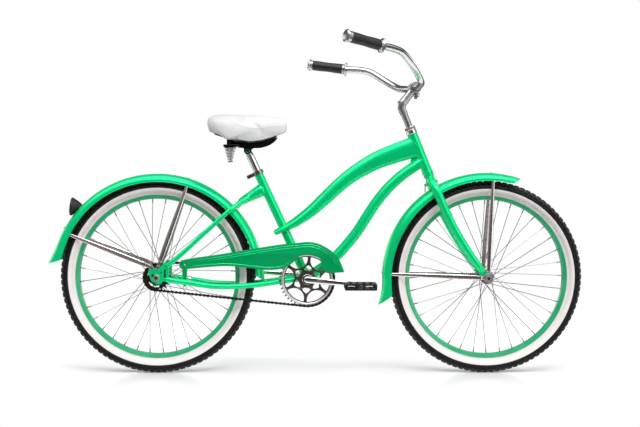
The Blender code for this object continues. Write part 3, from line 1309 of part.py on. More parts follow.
def saddle_cushion():
    """A crowned cushion, wide behind and narrow at the nose, with its sides drawn in."""
    stations = (
        # ahead of the post's top, half width, top against the saddle's height
        (-0.1248, 0.055, -0.0250), (-0.1208, 0.074, -0.0110), (-0.0998, 0.094, -0.0010),
        (-0.0698, 0.100, 0.0015), (-0.0348, 0.090, 0.0005), (0.0002, 0.064, -0.0005),
        (0.0352, 0.043, -0.0005), (0.0702, 0.033, -0.0010), (0.1002, 0.027, -0.0050),
        (0.1172, 0.021, -0.0140), (0.1252, 0.014, -0.0270),
    )
    rings = []
    for number, (ahead, half, rise) in enumerate(stations):
        half = half * SADDLE_HALF_WIDTH / 0.100
        top = SADDLE_RISE + rise
        low = min(underside(max(ahead, stations[1][0] + 0.0080)), top - 0.018)
        if number in (0, 1, len(stations) - 1):
            low += 0.010
        ring = []
        for share_y, share_z in ((0.0, 1.0), (0.55, 0.96), (0.90, 0.78), (1.0, 0.42), (0.80, 0.02)):
            ring.append((share_y, share_z))
        ring += [(0.0, 0.0)] + [(-y, z) for y, z in reversed(ring[1:])]
        rings.append([saddle_point(ahead, y * half, low + (top - low) * z) for y, z in ring])
    item = loft("saddle_cushion", rings, VINYL)
    soft = item.modifiers.new("soft", "SUBSURF")
    soft.levels = soft.render_levels = 1
    pan_space = loft("pan_space", pan_rings(0.0010 + GAP, -0.012, GAP))
    cut(item, pan_space)


def spring_point(turns):
    """A point of the spring's wire, after a number of turns from its wide end."""
    share = turns / SPRING_TURNS
    radius = SPRING_WIDE_RADIUS + (SPRING_NARROW_RADIUS - SPRING_WIDE_RADIUS) * share
    angle = 2 * math.pi * turns
    return Vector((radius * math.cos(angle), radius * math.sin(angle), -SPRING_LENGTH * share))


def springs():
    """A conical spring under each side of the saddle."""
    points_per_turn = 8
    wire = [spring_point(i / points_per_turn) for i in range(SPRING_TURNS * points_per_turn + 1)]
    samples = range((SPRING_TURNS - 1) * 36 + 1)
    apart = min((spring_point(i / 36) - spring_point(i / 36 + 1)).length for i in samples)
    print("least gap of a spring's wire to itself, mm:", round((apart - 2 * SPRING_WIRE_RADIUS) * 1000, 2))
    for word, side in (("right", -1), ("left", 1)):
        at = Vector((SPRING_PLACE.x, side * SPRING_PLACE.y, SPRING_PLACE.z - SPRING_WIRE_RADIUS))
        route = [at + point for point in wire]
        tube(f"saddle_spring_{word}", route, SPRING_WIRE_RADIUS, CHROME, roundness=1)


seat_post()
saddle_base()
saddle_cushion()
springs()
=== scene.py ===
"""A 24 inch cruiser bicycle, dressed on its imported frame. Metres: X forward, Y to the left, Z up."""

import math

import bmesh
import bpy
import numpy as np
from mathutils import Matrix, Vector
from mathutils.bvhtree import BVHTree


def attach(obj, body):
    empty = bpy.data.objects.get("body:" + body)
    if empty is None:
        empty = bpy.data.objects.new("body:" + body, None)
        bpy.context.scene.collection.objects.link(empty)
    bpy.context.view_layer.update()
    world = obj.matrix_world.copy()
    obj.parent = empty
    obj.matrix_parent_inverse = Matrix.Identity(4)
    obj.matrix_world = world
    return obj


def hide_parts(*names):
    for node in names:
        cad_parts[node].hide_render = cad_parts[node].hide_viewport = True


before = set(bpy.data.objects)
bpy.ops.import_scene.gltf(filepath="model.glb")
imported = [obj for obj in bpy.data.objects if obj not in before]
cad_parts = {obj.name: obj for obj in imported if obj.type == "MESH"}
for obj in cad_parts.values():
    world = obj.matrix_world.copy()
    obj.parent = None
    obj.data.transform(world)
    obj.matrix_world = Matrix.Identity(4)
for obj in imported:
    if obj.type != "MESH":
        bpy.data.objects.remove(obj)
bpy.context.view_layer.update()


# The room. A white floor, and a studio that only the bicycle mirrors: a bright ceiling on the camera's side,
# a white panel to the right, and dark walls, which draw the dark streaks along every polished tube.

class Value:
    """A node's output that takes part in sums."""

    def __init__(self, nodes, socket):
        self.nodes = nodes
        self.socket = socket

    def maths(self, operation, *terms):
        """A Math node on this value and others."""
        return self.nodes.node("ShaderNodeMath", dict(enumerate((self, *terms))), operation=operation)

    def __add__(self, other):
        return self.maths("ADD", other)

    __radd__ = __add__

    def __sub__(self, other):
        return self.maths("SUBTRACT", other)

    def __rsub__(self, other):
        return self * -1.0 + other

    def __mul__(self, other):
        return self.maths("MULTIPLY", other)

    __rmul__ = __mul__

    def __truediv__(self, other):
        return self.maths("DIVIDE", other)

    def __pow__(self, other):
        return self.maths("POWER", other)

    def also(self, output):
        """Another output of the same node."""
        return Value(self.nodes, self.socket.node.outputs[output])

    def above(self, edge, softness):
        """Goes from 0 to 1 over a soft edge."""
        return self.nodes.node(
            "ShaderNodeMapRange", {"Value": self, "From Min": edge - softness, "From Max": edge + softness},
            interpolation_type="SMOOTHSTEP")


class Nodes:
    """A node tree that is filled from Python."""

    def __init__(self, tree):
        self.tree = tree

    def plug(self, socket, value):
        if isinstance(value, Value):
            self.tree.links.new(value.socket, socket)
        else:
            socket.default_value = value

    def node(self, kind, sockets=None, output=0, **settings):
        """A new node with its settings and sockets filled in. Gives one of its outputs."""
        made = self.tree.nodes.new(kind)
        for key, value in settings.items():
            setattr(made, key, value)
        for key, value in (sockets or {}).items():
            self.plug(made.inputs[key], value)
        return Value(self, made.outputs[output])

    def split(self, vector):
        """The three parts of a vector."""
        return [self.node("ShaderNodeSeparateXYZ", {0: vector}, i) for i in range(3)]

    def mix(self, share, first, second):
        """A colour between two colours."""
        share, first, second = (
            item if isinstance(item, (Value, float)) else (*item, 1.0) for item in (share, first, second))
        return self.node("ShaderNodeMix", {0: share, 6: first, 7: second}, 2, data_type="RGBA")


def placed(name, data):
    """An object in the scene for a mesh, a curve, a lamp or a camera."""
    item = bpy.data.objects.new(name, data)
    bpy.context.scene.collection.objects.link(item)
    return item


class Finish(Nodes):
    """A material that is put together node by node."""

    def __init__(self, name, colour, roughness, metallic=0.0, more=None):
        self.material = bpy.data.materials.new(name)
        self.material.use_nodes = True
        super().__init__(self.material.node_tree)
        self.shader = self.tree.nodes["Principled BSDF"]
        self.set("Base Color", (*colour, 1.0))
        self.set("Roughness", roughness)
        self.set("Metallic", metallic)
        for socket, value in (more or {}).items():
            self.set(socket, value)
        self.place = self.node("ShaderNodeTexCoord", output="Object")

    def set(self, socket, value):
        self.plug(self.shader.inputs[socket], value)

    def noise(self, scale, detail=2.0, roughness=0.5):
        return self.node(
            "ShaderNodeTexNoise", {"Vector": self.place, "Scale": scale, "Detail": detail, "Roughness": roughness})

    def cells(self, scale, randomness):
        """How far a spot is from the edge of its cell."""
        return self.node(
            "ShaderNodeTexVoronoi", {"Vector": self.place, "Scale": scale, "Randomness": randomness},
            feature="DISTANCE_TO_EDGE")

    def bump(self, height, distance, strength=1.0):
        """Raises the surface by height times distance."""
        self.set(
            "Normal", self.node("ShaderNodeBump", {"Strength": strength, "Distance": distance, "Height": height}))

    def reach(self, centre):
        """The distance from an axle, for rings about it."""
        x, _, z = self.split(
            self.node("ShaderNodeVectorMath", {0: self.place, 1: tuple(centre)}, operation="SUBTRACT"))
        return (x * x + z * z)**0.5

    def wear_and_shade(self, patches, edge, colours, dull, grain, strength=1.0):
        """Two colours and a roughness that drift in patches, over a fine grain. Gives the material."""
        drift = self.noise(*patches)
        self.set("Base Color", self.mix(drift.above(*edge) if edge else drift, *colours))
        self.set("Roughness", drift * dull[0] + dull[1])
        self.bump(self.noise(*grain[:2]), grain[2], strength)
        return self.material


def faded(colour, share):
    """A colour made darker or lighter."""
    return tuple(share * value for value in colour)


def room_light():
    """The world: plain white to the camera, and a studio with dark far walls to everything else."""
    world = bpy.data.worlds.new("studio")
    world.use_nodes = True
    nodes = Nodes(world.node_tree)
    x, y, z = nodes.split(nodes.node("ShaderNodeTexCoord"))
    ceiling = nodes.mix(z.above(0.62, 0.14), (0.20, 0.20, 0.20), (2.20, 2.20, 2.20))
    dark = nodes.mix(z.above(-0.12, 0.06), (0.16, 0.155, 0.155), (0.020, 0.019, 0.020))
    dark = nodes.mix((0.0 - x).above(0.22, 0.20), dark, (0.24, 0.18, 0.19))
    front = nodes.mix(z.above(-0.70, 0.05) * (1.0 - z.above(0.22, 0.06)), ceiling, dark)
    panel = x.above(0.48, 0.06) * (1.0 - x.above(0.88, 0.05)) * z.above(-0.22, 0.10) * (1.0 - z.above(0.50, 0.10))
    front = nodes.mix(panel, front, (1.70, 1.70, 1.70))
    strip = z.above(-0.03, 0.01) * (1.0 - z.above(0.27, 0.02))
    back = nodes.mix(strip, (0.10, 0.10, 0.10), (1.15, 1.15, 1.15))
    mirrored = nodes.mix(y.above(0.22, 0.10), front, back)
    to_camera = nodes.node("ShaderNodeLightPath")
    out = world.node_tree.nodes["Background"]
    nodes.plug(out.inputs["Color"], nodes.mix(to_camera, mirrored, (1.0, 1.0, 1.0)))
    out.inputs["Strength"].default_value = 1.0
    bpy.context.scene.world = world


def soft_box(name, place, aim, size, power):
    """A large square lamp."""
    lamp = bpy.data.lights.new(name, "AREA")
    lamp.shape = "RECTANGLE"
    lamp.size, lamp.size_y = size
    lamp.energy = power
    item = placed(name, lamp)
    item.location = place
    item.rotation_euler = (Vector(aim) - Vector(place)).to_track_quat("-Z", "Y").to_euler()


def floor():
    """White and faintly glossy. It fades out not far from the bicycle, where the studio is dark."""
    mesh = bpy.data.meshes.new("floor")
    corners = [(-4.0, -0.9, 0.0), (5.0, -0.9, 0.0), (5.0, 2.6, 0.0), (-4.0, 2.6, 0.0)]
    mesh.from_pydata(corners, [], [(0, 1, 2, 3)])
    paint = Finish("floor", (0.94, 0.94, 0.94), 0.22, 0.0, {"IOR": 1.30, "Emission Strength": 1.0})
    x, y, _ = paint.split(paint.place)
    beside = (x - 0.5).maths("ABSOLUTE").above(3.0, 1.3)
    paint.set("Alpha", (1.0 - beside) * (1.0 - y.above(1.6, 0.9)) * y.above(-0.55, 0.20))
    # Behind the bicycle the floor glows faintly: painted light that washes out the bicycle's shadow there.
    paint.set("Emission Color", paint.mix(y.above(0.30, 0.30), (0.0, 0.0, 0.0), (0.14, 0.14, 0.14)))
    mesh.materials.append(paint.material)
    placed("floor", mesh)


def camera():
    """The camera stands where the photograph was taken from, found from the two wheels."""
    yaw, pitch, roll = math.radians(1.680), math.radians(-2.527), math.radians(0.239)
    ahead = Vector((math.sin(yaw) * math.cos(pitch), math.cos(yaw) * math.cos(pitch), math.sin(pitch)))
    level = Vector((math.cos(yaw), -math.sin(yaw), 0.0))
    over = level.cross(ahead)
    right = level * math.cos(roll) + over * math.sin(roll)
    up = over * math.cos(roll) - level * math.sin(roll)
    lens = bpy.data.cameras.new("camera")
    lens.sensor_width = 36.0
    lens.lens = 36.0 * 1287.5 / 640
    item = placed("camera", lens)
    place = Matrix.Translation(Vector((0.39495, -4.1041, 0.6891)))
    item.matrix_world = place @ Matrix((right, up, -ahead)).transposed().to_4x4()
    bpy.context.scene.camera = item


room_light()
soft_box("key", (0.9, -2.2, 3.1), (0.5, 0.0, 0.5), (2.8, 0.35), 42.0)
floor()
camera()
bpy.context.scene.view_settings.view_transform = "Standard"


# The main tubes. Thin steel tube in gloss green enamel: a tall oval top tube that sweeps down from the
# head tube and goes low and wide round the seat tube, and a round down tube that follows below it.

LEFT = Vector((0.0, 1.0, 0.0))
AXLE_HEIGHT = 0.306717
BRACKET = Vector((0.4745, 0.0, 0.301217))
SEAT_UP = Vector((-0.423093, 0.0, 0.906086))
SEAT_TUBE_LENGTH = 0.3774
SEAT_TOP = BRACKET + SEAT_UP * SEAT_TUBE_LENGTH
STEER_UP = Vector((-0.381070, 0.0, 0.924546))
STEER_FORWARD = Vector((0.924546, 0.0, 0.381070))
HEAD_LOW = Vector((0.856980, 0.0, 0.645217))
HEAD_TUBE_LENGTH = 0.128
HEAD_TUBE_RADIUS = 0.0165
SEAT_TUBE_RADIUS = 0.0143
DOWN_TUBE_RADIUS = 0.0172
SHELL_RADIUS = 0.029


def enamel(name, deep, bright, roughness):
    """Sprayed gloss enamel with fine flakes in it: its glints are green too, under a thin clear coat."""
    paint = Finish(
        name, bright, roughness, 0.42, {"Coat Weight": 0.32, "Coat Roughness": 0.04, "Specular IOR Level": 0.15})
    paint.set("Base Color", paint.mix(paint.noise(7.0, 3.0).above(0.5, 0.25), deep, bright))
    paint.set("Roughness", paint.noise(60.0, 3.0) * 0.08 + (roughness - 0.04))
    paint.bump(paint.noise(200.0, 1.0), 0.00001)
    return paint.material


GREEN = enamel("green_enamel", (0.0, 0.78, 0.256), (0.0, 0.85, 0.290), 0.30)


def mm(*rows):
    """Rows of lengths in millimetres, as tuples in metres."""
    return [tuple(round(length / 1000, 8) for length in row) for row in rows]


def piece(name, mesh, material, body, slot, *nodes, corner=28.0):
    """A finished mesh as a piece that rides on its body, in place of the CAD nodes that it stands for."""
    item = placed(name, mesh)
    mesh.materials.clear()
    mesh.materials.append(material)
    mesh.shade_smooth()
    mesh.set_sharp_from_angle(angle=math.radians(corner))
    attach(item, body)
    if nodes:
        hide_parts(*nodes)
    return item


def enamelled(name, mesh, body="frame"):
    """A piece in the frame's green that stands for the CAD node of its name."""
    piece(f"{name}_enamel", mesh, GREEN, body, "green_paint", name)


def skin(rings, looped=False):
    """A mesh over rings of points, from first to last, with its faces outward."""
    rings = np.array(rings, float)
    rows, count = rings.shape[:2]
    at = np.arange(rows * count).reshape(rows, count)
    if looped:
        at = np.vstack([at, at[:1]])
    right = np.roll(at, -1, axis=1)
    faces = np.stack([at[:-1], right[:-1], right[1:], at[1:]], axis=-1).reshape(-1, 4).tolist()
    if not looped:
        faces += [at[0][::-1].tolist(), at[-1].tolist()]
    mesh = bpy.data.meshes.new("skin")
    mesh.from_pydata(rings.reshape(-1, 3).tolist(), [], faces)
    return outward(mesh)


def outward(mesh):
    """Merges doubles and turns the faces outward."""
    shape = bmesh.new()
    shape.from_mesh(mesh)
    bmesh.ops.remove_doubles(shape, verts=shape.verts, dist=0.000005)
    bmesh.ops.recalc_face_normals(shape, faces=shape.faces)
    shape.to_mesh(mesh)
    shape.free()
    return mesh


def settled(item):
    """What an object's modifiers make of it, as a plain mesh. The object goes."""
    bpy.context.view_layer.update()
    mesh = bpy.data.meshes.new_from_object(item.evaluated_get(bpy.context.evaluated_depsgraph_get()))
    bpy.data.objects.remove(item)
    return mesh


def joined(*meshes):
    """One mesh of several."""
    shape = bmesh.new()
    for mesh in meshes:
        shape.from_mesh(mesh)
    whole = bpy.data.meshes.new("joined")
    shape.to_mesh(whole)
    shape.free()
    return whole


def curve_through(points, steps):
    """A smooth curve through points of any dimension, sampled steps times between each pair."""
    points = np.array(points, float)
    padded = np.vstack([2 * points[0] - points[1], points, 2 * points[-1] - points[-2]])
    out = []
    for a, b, c, d in zip(padded, padded[1:], padded[2:], padded[3:]):
        for t in np.arange(steps) / steps:
            out.append(
                0.5 * (2 * b + (c - a) * t + (2 * a - 5 * b + 4 * c - d) * t**2 + (3 * b - a - 3 * c + d) * t**3))
    out.append(points[-1])
    return np.array(out)


def frames_along(path, side):
    """For each point of a path two directions across it that don't twist."""
    path = np.array(path, float)
    ways = np.gradient(path, axis=0)
    ways /= np.linalg.norm(ways, axis=1)[:, None]
    first = np.array(side, float)
    if abs(first @ ways[0]) > 0.95:
        first = np.array((0.0, 0.0, 1.0))
    across = []
    for way in ways:
        first = first - way * (first @ way)
        first = first / np.linalg.norm(first)
        across.append(first)
    across = np.array(across)
    return across, np.cross(ways, across)


def turns(count):
    """Angles all the way round."""
    return np.linspace(0.0, 2 * math.pi, count, endpoint=False)


def tube_rings(path, across_radii, over_radii=None, sides=32, side=(0.0, 1.0, 0.0), power=2.0):
    """Rings along a path, round or oval: across_radii lie along the side direction."""
    across, over = frames_along(path, side)
    path = np.array(path, float)
    wide = np.broadcast_to(np.array(across_radii, float), (len(path),))
    tall = wide if over_radii is None else np.broadcast_to(np.array(over_radii, float), (len(path),))
    angles = 2 * math.pi * (np.arange(sides) + 0.5) / sides
    cosine, sine = np.cos(angles), np.sin(angles)
    x = np.sign(cosine) * np.abs(cosine)**(2 / power)
    y = np.sign(sine) * np.abs(sine)**(2 / power)
    return (
        path[:, None] + across[:, None] * (wide[:, None] * x)[..., None] + over[:, None]
        * (tall[:, None] * y)[..., None])


def tube(*path_and_radii, **more):
    """A closed tube along a path."""
    return skin(tube_rings(*path_and_radii, **more))


def spokes_about(axis, steps):
    """An axis, and directions square to it all the way round."""
    axis = Vector(axis).normalized()
    side = axis.orthogonal().normalized()
    over = axis.cross(side)
    angles = [2 * math.pi * i / steps for i in range(steps)]
    return axis, [(angle, side * math.cos(angle) + over * math.sin(angle)) for angle in angles]


def lathe(profile, centre, axis, steps):
    """A mesh of (radius, height) points turned about an axis. It has a bore unless it starts on the axis."""
    axis, ways = spokes_about(axis, steps)
    rings = [[Vector(centre) + way * radius + axis * height for _, way in ways] for radius, height in profile]
    return skin(rings, looped=profile[0][0] > 0.0)


def bead(path, out, radius, sides):
    """A round bead along a closed path. Its rings start on the side that out names."""
    ways = np.roll(path, -1, axis=0) - np.roll(path, 1, axis=0)
    ways /= np.linalg.norm(ways, axis=1)[:, None]
    out = out - ways * np.sum(out * ways, axis=1)[:, None]
    out /= np.maximum(np.linalg.norm(out, axis=1), 1e-6)[:, None]
    over = np.cross(ways, out)
    radii = np.broadcast_to(radius, len(path))[:, None]
    rings = [path + (out * math.cos(a) + over * math.sin(a)) * radii for a in turns(sides)]
    return skin(np.transpose(rings, (1, 0, 2)), looped=True)


def meet(rings, centre, axis, radius):
    """Trims rings that run into a cylinder to end on its surface. Gives the trimmed rings and the seam."""
    rings = np.array(rings, float)
    axis = np.array(Vector(axis).normalized())
    rows, count = rings.shape[:2]
    at = np.linspace(0.0, rows - 1.0, (rows - 1) * 8 + 1)
    row = np.minimum(at.astype(int), rows - 2)
    fine = rings[row] + (rings[row + 1] - rings[row]) * (at - row)[:, None, None]
    apart = fine - np.array(centre)
    away = np.linalg.norm(apart - (apart @ axis)[..., None] * axis, axis=-1)
    seam, first = [], len(at)
    for j in range(count):
        inside = np.nonzero(away[:, j] < radius)[0]
        k = max(inside[0] if len(inside) else int(np.argmin(away[:, j])), 1)
        share = 1.0
        if len(inside):
            share = min((away[k - 1, j] - radius) / max(away[k - 1, j] - away[k, j], 1e-9), 1.0)
        seam.append(fine[k - 1, j] + (fine[k, j] - fine[k - 1, j]) * share)
        first = min(first, k)
    seam = np.array(seam)
    kept = list(rings[:max(first // 8, 1)])
    last = kept[-1]
    kept += [last + (seam - last) * share for share in (0.34, 0.67, 1.0)]
    return np.array(kept), seam


def weld_bead(seam, size, ripple=0.00022):
    """A bead of weld along a closed seam, with the small even ripples of a hand-laid weld."""
    seam = np.array(seam, float)
    closed = np.vstack([seam, seam[:1]])
    lengths = np.concatenate([[0.0], np.cumsum(np.linalg.norm(np.diff(closed, axis=0), axis=1))])
    count = int(lengths[-1] / 0.0011)
    at = np.linspace(0.0, lengths[-1], count, endpoint=False)
    path = np.stack([np.interp(at, lengths, closed[:, i]) for i in range(3)], axis=1)
    ripples = max(round(lengths[-1] / 0.0033), 8)
    radius = size + ripple * np.abs(np.sin(math.pi * ripples * at / lengths[-1])) - ripple
    return bead(path, path - path.mean(axis=0), radius, 10)


def head_tube():
    """A plain short tube with its edges eased."""
    outer, inner, top = HEAD_TUBE_RADIUS, 0.0148, HEAD_TUBE_LENGTH
    profile = [
        (outer, 0.0008), (outer, top - 0.0008), (outer - 0.0005, top), (inner, top), (inner, 0.0),
        (outer - 0.0005, 0.0)]
    mesh = lathe(profile, HEAD_LOW, STEER_UP, 56)
    enamelled("head_tube", mesh)


def seat_tube():
    outer, inner = SEAT_TUBE_RADIUS, 0.0130
    bottom, top = 0.020, SEAT_TUBE_LENGTH
    profile = [(outer, bottom), (outer, top - 0.0006), (outer - 0.0004, top), (inner, top), (inner, bottom)]
    mesh = lathe(profile, BRACKET, SEAT_UP, 48)
    enamelled("seat_tube", mesh)


def top_tube():
    """Tall and narrow at the head tube, low and wide where the seat tube passes through it."""
    # x and z of the centre line, the height square to it, and the width
    table = mm(
        (374, 447, 19, 52), (400, 460, 23, 54), (437, 479.5, 31, 51), (485, 514, 37.5, 46), (532.5, 557, 42.5, 42),
        (580.5, 602, 45.5, 40), (628, 638.8, 49, 38), (692, 675.7, 56, 36), (755, 700.8, 62, 34),
        (821.5, 723, 67, 32), (848, 731, 68, 31.5))
    smooth = curve_through(table, 7)
    start = smooth[0]
    back = (smooth[0] - smooth[1])[:2]
    back /= np.linalg.norm(back)
    cap = []
    for out, size in ((0.0042, 0.30), (0.0040, 0.55), (0.0032, 0.76), (0.0018, 0.91)):
        cap.append((
            start[0] + back[0] * out, start[1] + back[1] * out, start[2] * size, start[3] * (0.4 + 0.6 * size)))
    smooth = np.vstack([cap, smooth])
    path = [(x, 0.0, z) for x, z in smooth[:, :2]]
    rings = tube_rings(path, smooth[:, 3] / 2, smooth[:, 2] / 2, sides=40, power=2.15)
    rings, seam = meet(rings, HEAD_LOW, STEER_UP, HEAD_TUBE_RADIUS - 0.0004)
    enamelled("top_tube", skin(rings))
    return seam


def down_tube():
    """A round tube that leaves the bracket shell and follows the top tube up to the head tube."""
    table = mm(
        (474.5, 302), (523, 334), (573.5, 377), (628.5, 441.8), (661, 492.1), (692.5, 540.2), (724.4, 580.6),
        (756, 612.5), (788, 639.3), (843, 677), (862, 690))
    smooth = curve_through(table, 6)
    path = [(x, 0.0, z) for x, z in smooth]
    rings = tube_rings(path, DOWN_TUBE_RADIUS - 0.0002, sides=36)
    rings, upper = meet(rings, HEAD_LOW, STEER_UP, HEAD_TUBE_RADIUS - 0.0004)
    rings, lower = meet(rings[::-1], BRACKET, LEFT, SHELL_RADIUS - 0.0004)
    enamelled("down_tube", skin(rings))
    return upper, lower


head_tube()
seat_tube()
top_seam = top_tube()
down_seams = down_tube()


# The bottom bracket. A short thick tube across the frame that the curved tubes are welded to, with a
# pressed steel cup in each end for the crank's balls.

SHELL_HALF = 0.034


def bracket_shell():
    outer, inner, half = SHELL_RADIUS, 0.0257, SHELL_HALF
    profile = [
        (outer - 0.0006, half), (outer, half - 0.0008), (outer, 0.8 * half), (outer, -0.8 * half),
        (outer, 0.0008 - half), (outer - 0.0006, -half), (inner, -half), (inner, half)]
    mesh = lathe(profile, BRACKET, LEFT, 64)
    enamelled("bottom_bracket_shell", mesh)


def worn_steel(name, colour, roughness, spread=0.12):
    """Plain dark steel with a thin uneven film of oil."""
    steel = Finish(name, colour, roughness, 1.0)
    return steel.wear_and_shade(
        (90.0, 4.0, 0.6), None, (faded(colour, 0.6), colour), (spread, roughness - spread / 2), (600.0, 2.0, 0.00004))


DARK_STEEL = worn_steel("dark_steel", (0.13, 0.115, 0.11), 0.36)
SIDES = (("right", -1), ("left", 1))


def bracket_cups():
    """Each cup is a shallow bowl with a lip that stops it in the shell."""
    profile = mm(
        (11.5, 4.8), (20, 4.8), (22.2, 4.4), (24, 3.6), (26.6, 3.1), (27, 2.6), (27, 0.4), (25.2, 0.3), (25.2, -8.5),
        (24.7, -9), (11.5, -9))
    for word, side in SIDES:
        mesh = lathe(profile, BRACKET + LEFT * side * SHELL_HALF, LEFT * side, 48)
        name = f"bottom_bracket_cup_{word}"
        piece(f"{name}_steel", mesh, DARK_STEEL, "frame", "dark_steel", name)


bracket_shell()
bracket_cups()


# The rear triangle. Slim round stays in the same green: two chainstays with a bridge between them, and a
# short cone behind the seat tube that parts into two seat stays. All four end on thick dropout plates.

CHAINSTAY_RADIUS = 0.0085
SEAT_STAY_RADIUS = 0.0075
DROPOUT_MIDDLE = 0.0578
DROPOUT_THICKNESS = 0.005
CHAINSTAY = mm(
    (30, 59, 300.5), (88, 60, 293), (136, 58, 285.5), (183, 54.5, 279.5), (246, 48, 278.5), (309, 40.5, 282.5),
    (357, 34.5, 288.5), (400, 31, 295), (455, 29, 301.5))
SEAT_STAY = mm(
    (296, 6, 565.5), (268, 24, 548), (244, 40.5, 530), (213.9, 47.5, 505), (135.1, 54, 433), (87.7, 58.5, 389),
    (33, 60, 342))
YOKE_ROOT = Vector((0.3360, 0.0, 0.5860))
YOKE_END = Vector((0.2620, 0.0, 0.5440))
BRIDGE = Vector((0.340940, 0.0, 0.2870))


def box(x0, x1, z0, z1):
    """The corners of a rectangle."""
    return [(x0, z0), (x1, z0), (x1, z1), (x0, z1)]


def pressed_plate(outlines, thickness, edge, side_y):
    """A plate in the plane of the wheels, from outlines in world (x, z), with its edges eased."""
    curve = bpy.data.curves.new("plate", "CURVE")
    curve.dimensions = "2D"
    curve.fill_mode = "BOTH"
    curve.extrude = thickness / 2 - edge
    curve.bevel_depth = edge
    curve.bevel_resolution = 1
    curve.offset = -edge
    for outline in outlines:
        spline = curve.splines.new("POLY")
        spline.points.add(len(outline) - 1)
        for point, (x, z) in zip(spline.points, outline):
            point.co = (x, -z, 0.0, 1.0)
        spline.use_cyclic_u = True
    mesh = settled(placed("plate", curve))
    bpy.data.curves.remove(curve)
    mesh.transform(Matrix(((1, 0, 0, 0), (0, 0, 1, side_y), (0, -1, 0, 0), (0, 0, 0, 1))))
    return outward(mesh)


def fused(mesh, voxel, rounds):
    """One skin over parts that cross each other, with the corners between them filled as by a weld."""
    item = placed("fused", mesh)
    remesh = item.modifiers.new("skin", "REMESH")
    remesh.mode = "VOXEL"
    remesh.voxel_size = voxel
    smooth = item.modifiers.new("fillet", "SMOOTH")
    smooth.factor = 0.5
    smooth.iterations = rounds
    return outward(settled(item))


def chainstays():
    for word, side in SIDES:
        path = curve_through([(x, side * y, z) for x, y, z in CHAINSTAY], 8)
        along = np.linspace(0.0, 1.0, len(path))
        flat = np.clip(along / 0.075, 0.0, 1.0)
        wide = CHAINSTAY_RADIUS * (0.60 + 0.40 * flat)
        tall = CHAINSTAY_RADIUS * (1.10 - 0.10 * flat)
        wide[0] *= 0.55
        tall[0] *= 0.70
        rings = tube_rings(path, wide, tall, sides=24)
        rings, seam = meet(rings, BRACKET, LEFT, SHELL_RADIUS - 0.0004)
        parts = [skin(rings), weld_bead(seam, 0.0019)]
        if side == 1:
            half = 0.0282
            bar = tube([BRIDGE + LEFT * half * share for share in (-1, -0.5, 0, 0.5, 1)], 0.0070, sides=24)
            ear = [
                (BRIDGE.x - 0.0070, 0.2880), (BRIDGE.x - 0.0045, 0.2880), (BRIDGE.x - 0.0045, 0.3263),
                (BRIDGE.x - 0.0052, 0.3270), (BRIDGE.x - 0.0063, 0.3270), (BRIDGE.x - 0.0070, 0.3263)]
            parts += [bar, pressed_plate([ear], 0.0150, 0.0004, 0.0)]
            for end in (-1, 1):
                place = BRIDGE + LEFT * end * half
                ring = [place + Vector((math.cos(a), 0.0, math.sin(a))) * 0.0071 for a in turns(24)]
                parts.append(weld_bead(ring, 0.0014))
        enamelled(f"chainstay_{word}", joined(*parts))


def seat_stays():
    """The cone's blunt end lies against the seat tube, and the fender hangs from a boss under it."""
    share = np.array((-0.06, 0.0, 0.10, 0.35, 0.75, 1.0, 1.06))
    wide = np.array((0.0085, 0.0135, 0.0160, 0.0168, 0.0180, 0.0170, 0.0100))
    tall = np.array((0.0110, 0.0180, 0.0205, 0.0178, 0.0140, 0.0110, 0.0060))
    table = curve_through(np.column_stack([share, wide, tall]), 4)
    path = [YOKE_ROOT.lerp(YOKE_END, at) for at in table[:, 0]]
    parts = [tube(path, table[:, 1], table[:, 2], sides=32)]
    for side in (-1, 1):
        route = curve_through([(x, side * y, z) for x, y, z in SEAT_STAY], 8)
        along = np.linspace(1.0, 0.0, len(route))
        flat = np.clip(along / 0.07, 0.0, 1.0)
        wide = SEAT_STAY_RADIUS * (0.62 + 0.38 * flat)
        tall = SEAT_STAY_RADIUS * (1.12 - 0.12 * flat)
        parts.append(tube(route, wide, tall, sides=24))
    top = YOKE_END + Vector((0.012, 0.0, 0.004))
    down = Vector((0.0, 0.0, AXLE_HEIGHT - 0.012)) - top
    way, reach = down.normalized(), down.length - 0.3400
    parts.append(
        tube([top + way * reach * at for at in (0.0, 0.4, 0.8, 1.0)], (0.0062, 0.0058, 0.0056, 0.0052), sides=20))
    enamelled("seat_stays", fused(joined(*parts), 0.0013, 5))


def round_hole(radius, x, z, count):
    """Points round a hole."""
    return [
        (x + radius * math.cos(2 * math.pi * i / count), z + radius * math.sin(2 * math.pi * i / count))
        for i in range(count)]


def rounded(outline, radius, steps=5):
    """An outline with its corners rounded."""
    out = []
    count = len(outline)
    for i in range(count):
        before, here, after = (Vector(outline[(i + k) % count]) for k in (-1, 0, 1))
        first, last = (before - here), (after - here)
        cut = min(radius, 0.42 * first.length, 0.42 * last.length)
        start, end = here + first.normalized() * cut, here + last.normalized() * cut
        for k in range(steps + 1):
            t = k / steps
            out.append(tuple(start * (1 - t)**2 + here * 2 * t * (1 - t) + end * t**2))
    return out


def dropouts():
    """Thick plates with a slot for the axle, and a hole for the fender stays' bolt."""
    plate = mm(
        (-26.2, 325), (-23.5, 333), (-20.8, 340.5), (-18, 345.2), (-12, 345.2), (-8, 338), (-2, 338), (2, 345.2),
        (8, 345.2), (12.5, 340), (18.5, 348), (24, 356), (40, 348), (39.2, 328), (40, 297.5), (21, 296), (13, 286),
        (-1, 287), (-17, 298))
    gap = mm((23.5, 306.5), (23.5, 330), (29, 336), (30, 306.5))
    slot = mm((5.8, 304.7), (3, 300.2), (-3, 301.2), (-15, 311.2), (-15.5, 317.2), (-10, 319.2), (4, 311.7))
    outlines = [
        rounded(plate, 0.004), rounded(slot, 0.004), rounded(gap, 0.003), round_hole(0.0026, 0.0150, 0.3220, 20)]
    for word, side in SIDES:
        enamelled(f"dropout_{word}", pressed_plate(outlines, DROPOUT_THICKNESS, 0.0007, side * DROPOUT_MIDDLE))


